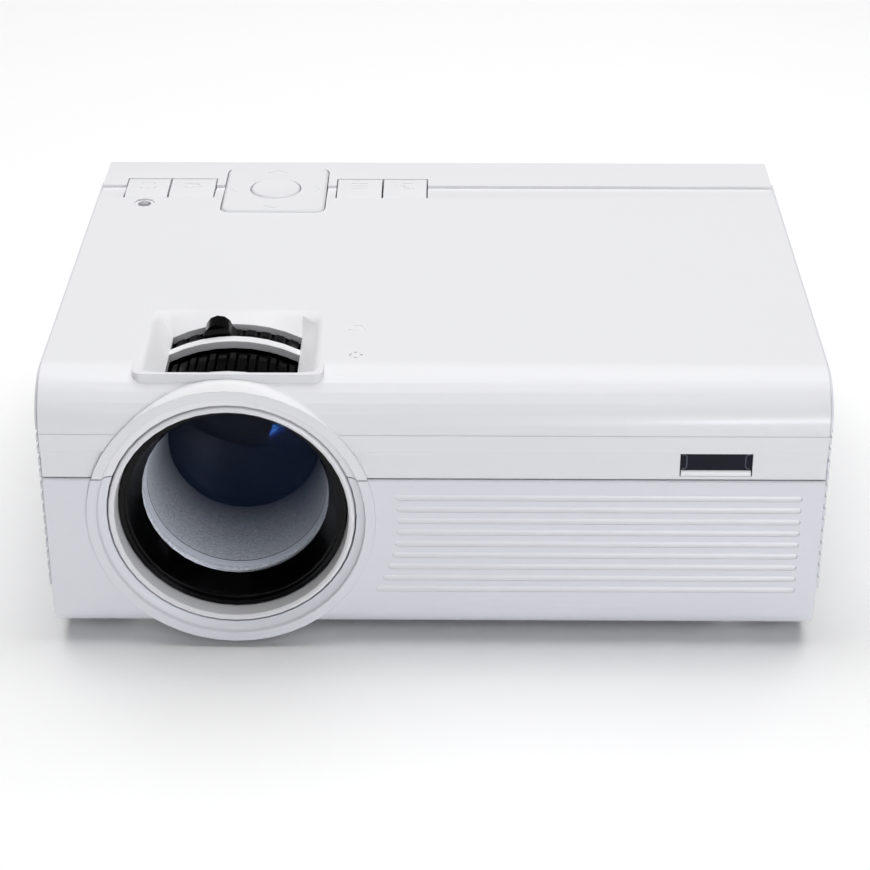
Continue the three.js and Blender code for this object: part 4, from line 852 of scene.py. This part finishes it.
@dataclass
class Optics:
    """Lens, rings and everything in the light path.

    cup_mouth and cup_throat are the radii of the cup's cone, which starts behind its
    lip. The rim and the line are measured from the mouth.
    """

    cup_lip: float = 0.7 * MM
    cup_mouth: float = 23.6 * MM
    cup_throat: float = 17.0 * MM
    cup_length: float = 21.3 * MM
    rim_from: float = 0.02 * MM
    rim_to: float = 2.7 * MM
    line_width: float = 0.3 * MM
    trim: float = 0.06 * MM

    def build(self, dresser: Dresser) -> None:
        """Dresses the optical nodes and adds the trim of the cup.

        Args:
            dresser: gives the finishes.
        """
        dresser.dress(Finish.WHEEL, "focus_ring", "keystone_ring")
        dresser.dress(Finish.BARREL, "lens_barrel")
        dresser.dress(Finish.SILVER, "silver_cup")
        dresser.dress(Finish.FRONT_GLASS, "front_glass")
        dresser.dress(Finish.REAR_GLASS, "rear_glass")
        dresser.dress(
            Finish.DARK,
            "lens_tube",
            "spacer_ring",
            "lock_ring",
            "optical_box",
            "optical_lid",
            "panel_carrier",
        )
        dresser.dress(
            Finish.OPTIC, "field_fresnel", "collimator_fresnel", "condenser_lens"
        )
        dresser.dress(Finish.MIRROR, "fold_mirror")
        dresser.dress(Finish.WINDOW, "picture_panel")
        # Coated glass lets nearly all light through, so the cup isn't in its shadow.
        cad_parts["front_glass"].visible_shadow = False
        self.cup_rim(dresser)

    def on_cone(self, front: float, distance: float) -> Point:
        """Gives a place just inside the cup's wall.

        Args:
            front: y of the cup's front edge.
            distance: how far the place is behind the mouth.

        Returns:
            Its radius and its y.
        """
        fall = (self.cup_mouth - self.cup_throat) / self.cup_length
        radius = self.cup_mouth - self.trim / 2 - fall * distance
        return radius, front + self.cup_lip + distance

    def cup_rim(self, dresser: Dresser) -> None:
        """Adds a lighter band at the cup's mouth as painted highlight, and a thin dark
        band behind it as painted shade of a fine step.

        Args:
            dresser: gives the finishes.
        """
        low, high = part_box("silver_cup")
        middle = ((low.x + high.x) / 2, (low.z + high.z) / 2)
        first, second, third = [
            self.on_cone(low.y, distance)
            for distance in (self.rim_from, self.rim_to, self.rim_to + self.line_width)
        ]
        silver = dresser.finishes.get(Finish.BRIGHT_RIM)
        dark = dresser.finishes.get(Finish.DARK)
        # The rim band: painted highlight.
        rim = TurnedBand("silver_cup_rim", middle, self.trim)
        rim.build((first, second), silver, "silver_paint")
        # A thin dark band: painted shade of a fine step in the cup.
        line = TurnedBand("silver_cup_line", middle, self.trim)
        line.build((second, third), dark, "dark_plastic")


@dataclass
class Electronics:
    """Boards, sockets, lamp and fan."""

    boards: tuple[str, ...] = ("key_board", "input_board", "main_board", "power_board")
    moulded: tuple[str, ...] = ("power_inlet", "audio_socket", "ir_sensor", "fan_rotor")
    shells: tuple[str, ...] = ("hdmi_socket", "usb_socket", "card_socket")
    frames: tuple[str, ...] = ("fan_frame", "speaker", "nav_pivot_ring")

    def build(self, dresser: Dresser) -> None:
        """Dresses the electrical nodes.

        Args:
            dresser: gives the finishes.
        """
        dresser.dress(Finish.BOARD, *self.boards)
        dresser.dress(Finish.SOCKET, *self.moulded)
        dresser.dress(Finish.STEEL, *self.shells)
        dresser.dress(Finish.DARK, *self.frames)
        dresser.dress(Finish.PHOSPHOR, "lamp_module")
        dresser.dress(Finish.ALUMINIUM, "heat_sink")


@dataclass(frozen=True)
class Bar:
    """A straight stroke of a sign."""

    start: Point
    end: Point


@dataclass(frozen=True)
class Arc:
    """A round stroke of a sign, between two angles in degrees."""

    centre: Point
    radius: float
    start: float = 0
    end: float = 360


@dataclass(frozen=True)
class Patch:
    """A filled area of a sign."""

    corners: tuple[Point, ...]


class Sign(Enum):
    """Plain signs, each around its middle and in units of half its size."""

    # A broken ring with a bar in its gap.
    POWER = (Arc((0, 0), 1, -50, 230), Bar((0, -1.15), (0, -0.1)))
    # An arrow that turns back.
    BACK = (
        Bar((-1, 0.5), (0.4, 0.5)),
        Arc((0.4, 0), 0.5, -90, 90),
        Bar((-0.2, -0.5), (0.4, -0.5)),
        Patch(((-1, -0.5), (-0.2, -1), (-0.2, 0))),
    )
    # Three lines.
    MENU = (
        Bar((-1, -0.7), (1, -0.7)),
        Bar((-1, 0), (1, 0)),
        Bar((-1, 0.7), (1, 0.7)),
    )
    # An arrow into an open frame.
    SOURCE = (
        Bar((-0.3, -0.8), (1, -0.8)),
        Bar((1, -0.8), (1, 0.8)),
        Bar((1, 0.8), (-0.3, 0.8)),
        Bar((-1.2, 0), (0, 0)),
        Patch(((0.5, 0), (-0.1, 0.5), (-0.1, -0.5))),
    )
    # A plain ring.
    CONFIRM = (Arc((0, 0), 1),)
    # A picture that is wider at its foot.
    KEYSTONE = (
        Bar((-1, -0.6), (1, -0.6)),
        Bar((1, -0.6), (0.6, 0.6)),
        Bar((0.6, 0.6), (-0.6, 0.6)),
        Bar((-0.6, 0.6), (-1, -0.6)),
    )
    # A ring with four short bars across it.
    FOCUS = (
        Arc((0, 0), 0.7),
        Bar((0.45, 0), (1, 0)),
        Bar((-0.45, 0), (-1, 0)),
        Bar((0, 0.45), (0, 1)),
        Bar((0, -0.45), (0, -1)),
    )


class Facing(Enum):
    """Which way a flat mark looks."""

    UP = "up"
    FRONT = "front"


class Pad:
    """Thin raised marks on a flat surface, made from outlines."""

    # Degrees in a step of an arc, and its fewest steps.
    ARC_STEP = 12
    ARC_LEAST = 6
    # Corners nearer than this, in metres, are one corner.
    WELD = 1e-7

    def __init__(
        self, name: str, height: float, thickness: float, facing: Facing = Facing.UP
    ) -> None:
        """Starts an empty mark.

        Args:
            name: the piece's name.
            height: level of the surface that it lies on, measured the way it faces.
            thickness: how far it stands proud.
            facing: the way it faces.
        """
        self.name = name
        self.facing = facing
        self.low = height - thickness / 2
        self.high = height + thickness
        self.mesh = bmesh.new()

    def corner(self, across: float, up: float, level: float) -> bmesh.types.BMVert:
        """Adds a corner at its place in the scene.

        Args:
            across: place along X.
            up: place along the surface's other direction.
            level: height over the surface, the way it faces.

        Returns:
            The new corner.
        """
        if self.facing is Facing.FRONT:
            return self.mesh.verts.new((across, -level, up))
        return self.mesh.verts.new((across, up, level))

    def plate(self, outline: Sequence[Point]) -> None:
        """Adds one outline as a thin plate.

        Args:
            outline: its corners, in metres.
        """
        lower = [self.corner(x, y, self.low) for x, y in outline]
        upper = [self.corner(x, y, self.high) for x, y in outline]
        self.mesh.faces.new(upper)
        self.mesh.faces.new(lower[::-1])
        count = len(outline)
        for i in range(count):
            j = (i + 1) % count
            self.mesh.faces.new((lower[i], lower[j], upper[j], upper[i]))

    def bar(self, start: Point, end: Point, width: float) -> None:
        """Adds a straight stroke.

        Args:
            start: one end.
            end: the other end.
            width: the stroke's width.
        """
        along = (Vector(end) - Vector(start)).normalized()
        side = Vector((-along.y, along.x)) * width / 2
        a, b = Vector(start), Vector(end)
        self.plate([tuple(p) for p in (a - side, b - side, b + side, a + side)])

    def band(
        self, centre: Point, radius: float, width: float, start: float, end: float
    ) -> None:
        """Adds an arc-shaped stroke.

        Args:
            centre: the arc's centre.
            radius: its middle radius.
            width: the stroke's width.
            start: first angle, in degrees.
            end: last angle, in degrees.
        """
        steps = max(self.ARC_LEAST, round(abs(end - start) / self.ARC_STEP))
        angles = [
            math.radians(start + (end - start) * i / steps) for i in range(steps + 1)
        ]
        inner, outer = radius - width / 2, radius + width / 2
        for first, second in zip(angles, angles[1:]):
            corners = ((inner, first), (outer, first), (outer, second), (inner, second))
            self.plate(
                [
                    (centre[0] + r * math.cos(turn), centre[1] + r * math.sin(turn))
                    for r, turn in corners
                ]
            )

    def draw(self, sign: Sign, middle: Point, half: float, stroke: float) -> None:
        """Draws a sign.

        Args:
            sign: the sign.
            middle: place of its middle.
            half: half its size.
            stroke: width of its strokes.
        """
        for part in sign.value:
            if isinstance(part, Bar):
                ends = [self.placed(p, middle, half) for p in (part.start, part.end)]
                self.bar(ends[0], ends[1], stroke)
            elif isinstance(part, Arc):
                centre = self.placed(part.centre, middle, half)
                self.band(centre, part.radius * half, stroke, part.start, part.end)
            else:
                self.plate([self.placed(p, middle, half) for p in part.corners])

    @staticmethod
    def placed(point: Point, middle: Point, half: float) -> Point:
        """Turns a point of a sign to metres.

        Args:
            point: the point, in units of half the sign's size.
            middle: place of the sign's middle.
            half: half the sign's size.

        Returns:
            The point's place.
        """
        return middle[0] + half * point[0], middle[1] + half * point[1]

    def finish(self, material: bpy.types.Material, body: str, slot: str) -> None:
        """Makes the piece and lets it ride on its body.

        Args:
            material: its material.
            body: the body that carries it.
            slot: not used.
        """
        bmesh.ops.remove_doubles(self.mesh, verts=self.mesh.verts, dist=self.WELD)
        make_piece(self.name, self.mesh, material, body)


class Scoop:
    """Strips with a hollow slope that faces up and forwards, made as one piece."""

    # Edges with a larger turn than this stay crisp.
    SHARP = math.radians(40)

    def __init__(self, name: str) -> None:
        """Starts an empty piece.

        Args:
            name: the piece's name.
        """
        self.name = name
        self.mesh = bmesh.new()

    def strip(self, rows: Sequence[Sequence[float]], back: float) -> None:
        """Adds one strip.

        Args:
            rows: left end, right end, y and z of each level, from the top down.
            back: y of its flat back.
        """
        rings = [
            [
                self.mesh.verts.new(place)
                for place in (
                    (left, y, z),
                    (right, y, z),
                    (right, back, z),
                    (left, back, z),
                )
            ]
            for left, right, y, z in rows
        ]
        for upper, lower in zip(rings, rings[1:]):
            for i in range(4):
                j = (i + 1) % 4
                self.mesh.faces.new((upper[i], lower[i], lower[j], upper[j]))
        self.mesh.faces.new(rings[0])
        self.mesh.faces.new(rings[-1][::-1])

    def finish(self, material: bpy.types.Material) -> None:
        """Makes the piece, which rides on the chassis.

        Args:
            material: its material.
        """
        piece = make_piece(self.name, self.mesh, material, "chassis")
        for polygon in piece.data.polygons:
            polygon.use_smooth = True
        piece.data.set_sharp_from_angle(angle=self.SHARP)


@dataclass
class FrontTrim:
    """Hollow floors of the front grooves, and the sill and clips of the window.

    slope and sill give a section from the top down: each level's height and how far it
    stands out, as shares of the room that it has.
    """

    groove_count: int = 9
    groove_top: float = 45.7 * MM
    groove_low: float = 18.34 * MM
    groove_half: float = 0.855 * MM
    groove_right: float = 94.2 * MM
    groove_arc: float = 42.7 * MM
    lens: Point = (-52.0 * MM, 39.3 * MM)
    face: float = -74.7 * MM
    groove_depth: float = 0.7 * MM
    room: float = 0.03 * MM
    slope: tuple[Point, ...] = (
        (0.94, 0.08),
        (0.55, 0.14),
        (0.1, 0.26),
        (-0.3, 0.44),
        (-0.62, 0.64),
        (-0.84, 0.84),
        (-0.96, 0.96),
    )
    window: Point = (62.8 * MM, 80.6 * MM)
    window_low: float = 52.0 * MM
    window_top: float = 58.5 * MM
    window_face: float = -73.6 * MM
    sill_height: float = 1.5 * MM
    sill: tuple[Point, ...] = ((1.0, 0.1), (0.9, 0.45), (0.66, 0.8), (0.04, 0.94))
    sill_depth: float = 0.5 * MM
    clip_width: float = 1.2 * MM
    clip_bend: float = 0.7
    clip_stroke: float = 0.28 * MM
    clip_proud: float = 0.05 * MM
    clip_gap: float = 0.25 * MM

    def build(self, dresser: Dresser) -> None:
        """Adds the trim of the front.

        Args:
            dresser: gives the finishes.
        """
        self.grooves(dresser)
        self.window_sill(dresser)
        self.window_clips(dresser)

    def grooves(self, dresser: Dresser) -> None:
        """Lays a hollow floor in each groove, with its left end along the flange.

        Args:
            dresser: gives the finishes.
        """
        scoop = Scoop("front_groove_floors")
        inner = self.face + self.groove_depth - self.room
        for i in range(self.groove_count):
            share = i / (self.groove_count - 1)
            level = self.groove_top + (self.groove_low - self.groove_top) * share
            off = level - self.lens[1]
            left = self.lens[0] + math.sqrt(self.groove_arc**2 - off**2)
            rows = []
            for up, out in self.slope:
                end = self.groove_half * (1 - math.sqrt(1 - up**2)) + self.room
                rows.append(
                    (
                        left + end,
                        self.groove_right - end,
                        inner - (self.groove_depth - self.room) * out,
                        level + up * self.groove_half,
                    )
                )
            scoop.strip(rows, inner)
        # The floors are lighter than the front around them: painted highlight.
        scoop.finish(dresser.finishes.get(Finish.EMBOSS))

    def window_sill(self, dresser: Dresser) -> None:
        """Adds the sill under the small window, made pale by painted highlight.

        Args:
            dresser: gives the finishes.
        """
        left, right = self.window
        back = self.window_face - self.room
        rows = [
            (
                left + self.room,
                right - self.room,
                back - self.sill_depth * out,
                self.window_low + self.room + self.sill_height * up,
            )
            for up, out in self.sill
        ]
        scoop = Scoop("window_sill")
        scoop.strip(rows, back)
        scoop.finish(dresser.finishes.get(Finish.EMBOSS))

    def window_clips(self, dresser: Dresser) -> None:
        """Adds the outline of a clip at each end of the small window.

        Args:
            dresser: gives the finishes.
        """
        left, right = self.window
        low = self.window_low + self.sill_height + self.clip_gap * 2
        high = self.window_top - self.clip_gap * 2
        pad = Pad("window_clips", -self.window_face, self.clip_proud, Facing.FRONT)
        for outer, way in ((left + self.clip_gap, 1), (right - self.clip_gap, -1)):
            inner = outer + way * self.clip_width
            bend = outer + way * self.clip_width * self.clip_bend
            path = (
                (outer, low),
                (bend, low),
                (inner, low + self.clip_width / 2),
                (inner, high - self.clip_width / 2),
                (bend, high),
                (outer, high),
            )
            for start, end in zip(path, path[1:]):
                pad.bar(start, end, self.clip_stroke)
        # The paler clip colour is painted highlight.
        pad.finish(dresser.finishes.get(Finish.CLIP), "chassis", "smoked_window")


@dataclass
class Keypad:
    """Keys on the top, with plain marks that read from behind.

    flat_share is where the middle of a key's flat top lies, as a share of its depth.
    """

    stroke: float = 0.42 * MM
    size: float = 5.0 * MM
    proud: float = 0.13 * MM
    flat_share: float = 0.62
    chevron: float = 2.8 * MM
    chevron_rise: float = 1.8 * MM
    chevron_inset: Point = (1.9 * MM, 2.3 * MM)
    ring_radius: float = 2.8 * MM
    ring_drop: float = 0.4 * MM
    keys: tuple[tuple[str, Sign], ...] = (
        ("power", Sign.POWER),
        ("back", Sign.BACK),
        ("menu", Sign.MENU),
        ("source", Sign.SOURCE),
    )

    def build(self, dresser: Dresser) -> None:
        """Dresses the keys and adds their marks.

        Args:
            dresser: gives the finishes.
        """
        flat_keys = [f"{body}_key" for body, _ in self.keys]
        dresser.dress(Finish.KEY, *flat_keys, "nav_tile", "ok_key")
        # The marks are lighter than the keys: painted highlight.
        mark = dresser.finishes.get(Finish.EMBOSS)
        for body, sign in self.keys:
            low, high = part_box(f"{body}_key")
            depth = low.y + (high.y - low.y) * self.flat_share
            pad = Pad(f"{body}_key_mark", high.z, self.proud)
            pad.draw(sign, ((low.x + high.x) / 2, depth), self.size / 2, self.stroke)
            pad.finish(mark, body, "white_shell")
        self.chevrons().finish(mark, "nav", "white_shell")
        low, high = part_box("ok_key")
        middle = ((low.x + high.x) / 2, (low.y + high.y) / 2)
        pad = Pad("ok_key_mark", high.z - self.ring_drop, self.proud)
        pad.draw(Sign.CONFIRM, middle, self.ring_radius, self.stroke)
        pad.finish(mark, "ok", "white_shell")

    def chevrons(self) -> Pad:
        """Draws an open chevron near each side of the direction tile.

        Returns:
            The marks, not yet finished.
        """
        low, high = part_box("nav_tile")
        middle = Vector(((low.x + high.x) / 2, (low.y + high.y) / 2))
        corner = Vector(((high.x - low.x) / 2, (high.y - low.y) / 2))
        reach = corner - Vector(self.chevron_inset)
        pad = Pad("nav_tile_marks", high.z, self.proud)
        for dx, dy in ((1, 0), (-1, 0), (0, 1), (0, -1)):
            tip = middle + Vector((dx * reach.x, dy * reach.y))
            foot = tip - Vector((dx, dy)) * self.chevron_rise
            for turn in (1, -1):
                side = Vector((-dy, dx)) * turn * self.chevron
                pad.bar(tuple(tip), tuple(foot + side), self.stroke)
        return pad


@dataclass
class WellMarks:
    """Small raised signs beside the finger well, in line with each ring."""

    stroke: float = 0.4 * MM
    size: float = 4.2 * MM
    proud: float = 0.06 * MM
    well_right: float = -29.0 * MM
    gap: float = 9.0 * MM
    signs: tuple[tuple[str, Sign], ...] = (
        ("keystone", Sign.KEYSTONE),
        ("focus", Sign.FOCUS),
    )

    def build(self, dresser: Dresser) -> None:
        """Adds the two signs to the top cover.

        Args:
            dresser: gives the finishes.
        """
        # The signs are lighter than the top cover: painted highlight.
        emboss = dresser.finishes.get(Finish.EMBOSS)
        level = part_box("power_key")[1].z
        for name, sign in self.signs:
            low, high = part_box(f"{name}_ring")
            middle = (self.well_right + self.gap, (low.y + high.y) / 2)
            pad = Pad(f"{name}_sign", level, self.proud)
            pad.draw(sign, middle, self.size / 2, self.stroke)
            pad.finish(emboss, "chassis", "white_shell")


@dataclass(frozen=True)
class Softbox:
    """One soft light: a glowing rectangle that faces a point."""

    name: str
    place: Place
    target: Place
    size: Point
    power: float
    colour: str = "FFFFFF"
    mirrored: bool = True

    def hang(self) -> None:
        """Hangs the light in the studio, where gloss mirrors it or doesn't."""
        data = bpy.data.lights.new(self.name, "AREA")
        data.shape = "RECTANGLE"
        data.size, data.size_y = self.size
        data.energy = self.power
        data.color = linear(self.colour)[:3]
        light = bpy.data.objects.new(self.name, data)
        bpy.context.scene.collection.objects.link(light)
        light.location = self.place
        light.visible_glossy = self.mirrored
        direction = Vector(self.target) - Vector(self.place)
        light.rotation_euler = direction.to_track_quat("-Z", "Y").to_euler()


@dataclass
class Studio:
    """Pale floor, soft lights and the camera.

    near and far are the limits of what the camera sees, in metres.
    """

    viewpoint: Place = (4.34 * MM, -584.7 * MM, 342.2 * MM)
    pitch: float = math.radians(28.61)
    yaw: float = -0.00775
    focal_px: float = 2308.6
    frame_px: float = 870.0
    sensor_mm: float = 36.0
    near: float = 0.01
    far: float = 50.0
    floor_size: float = 6.0
    floor_colour: str = "FBFBFB"
    floor_roughness: float = 0.4
    floor_gloss: float = 0.2
    air_colour: str = "FFFFFF"
    air_strength: float = 0.08
    softboxes: tuple[Softbox, ...] = (
        Softbox(
            "top_softbox",
            place=(0.0, 0.3, 1.15),
            target=(0.0, 0.15, 0.0),
            size=(1.7, 1.5),
            power=19.0,
            mirrored=False,
        ),
        Softbox(
            "strip_softbox",
            place=(0.0, 0.1, 1.3),
            target=(0.0, 0.1, 0.0),
            size=(1.6, 0.36),
            power=2.6,
        ),
        Softbox(
            "front_softbox",
            place=(0.6, -1.4, 0.17),
            target=(0.0, 0.0, 0.05),
            size=(0.8, 0.3),
            power=4.4,
        ),
        Softbox(
            "brow_softbox",
            place=(0.1, -1.1, 1.0),
            target=(0.0, 0.0, 0.05),
            size=(1.2, 0.3),
            power=1.6,
        ),
        Softbox(
            "low_softbox",
            place=(0.24, -1.2, 0.1),
            target=(-0.03, 0.0, 0.05),
            size=(0.14, 0.09),
            power=1.8,
            colour="F0F4FF",
        ),
    )

    def camera(self) -> None:
        """Makes the camera at the photograph's viewpoint."""
        data = bpy.data.cameras.new("camera")
        data.sensor_width = self.sensor_mm
        data.lens = self.focal_px / self.frame_px * self.sensor_mm
        data.clip_start = self.near
        data.clip_end = self.far
        camera = bpy.data.objects.new("camera", data)
        bpy.context.scene.collection.objects.link(camera)
        camera.location = self.viewpoint
        camera.rotation_euler = (math.pi / 2 - self.pitch, 0.0, -self.yaw)
        bpy.context.scene.camera = camera

    def floor(self) -> None:
        """Makes the floor with its own pale finish."""
        half = self.floor_size / 2
        data = bpy.data.meshes.new("floor")
        data.from_pydata(
            [(-half, -half, 0), (half, -half, 0), (half, half, 0), (-half, half, 0)],
            [],
            [(0, 1, 2, 3)],
        )
        material, tree, output = new_tree("matt_white_laminate_floor")
        shader = add_node(
            tree,
            "ShaderNodeBsdfPrincipled",
            {
                "Base Color": linear(self.floor_colour),
                "Roughness": self.floor_roughness,
                "Specular IOR Level": self.floor_gloss,
            },
        )
        tree.links.new(shader.outputs["BSDF"], output.inputs["Surface"])
        data.materials.append(material)
        floor = bpy.data.objects.new("floor", data)
        bpy.context.scene.collection.objects.link(floor)

    def air(self) -> None:
        """Fills the room with a little even light and shows colours as they are."""
        world = bpy.data.worlds.new("studio_air")
        world.use_nodes = True
        background = world.node_tree.nodes["Background"]
        background.inputs["Color"].default_value = linear(self.air_colour)
        background.inputs["Strength"].default_value = self.air_strength
        bpy.context.scene.world = world
        bpy.context.scene.view_settings.view_transform = "Standard"

    def build(self) -> None:
        """Builds the studio."""
        self.camera()
        self.floor()
        self.air()
        for softbox in self.softboxes:
            softbox.hang()
        log.info("studio built")


def main() -> None:
    """Builds the scene in order."""
    logging.basicConfig(level=logging.INFO, format="%(message)s")
    dresser = Dresser(Finishes())
    assemblies = (
        Casing(),
        Optics(),
        Electronics(),
        Keypad(),
        WellMarks(),
        FrontTrim(),
    )
    for assembly in assemblies:
        assembly.build(dresser)
    Studio().build()


if __name__ == "__main__":
    main()
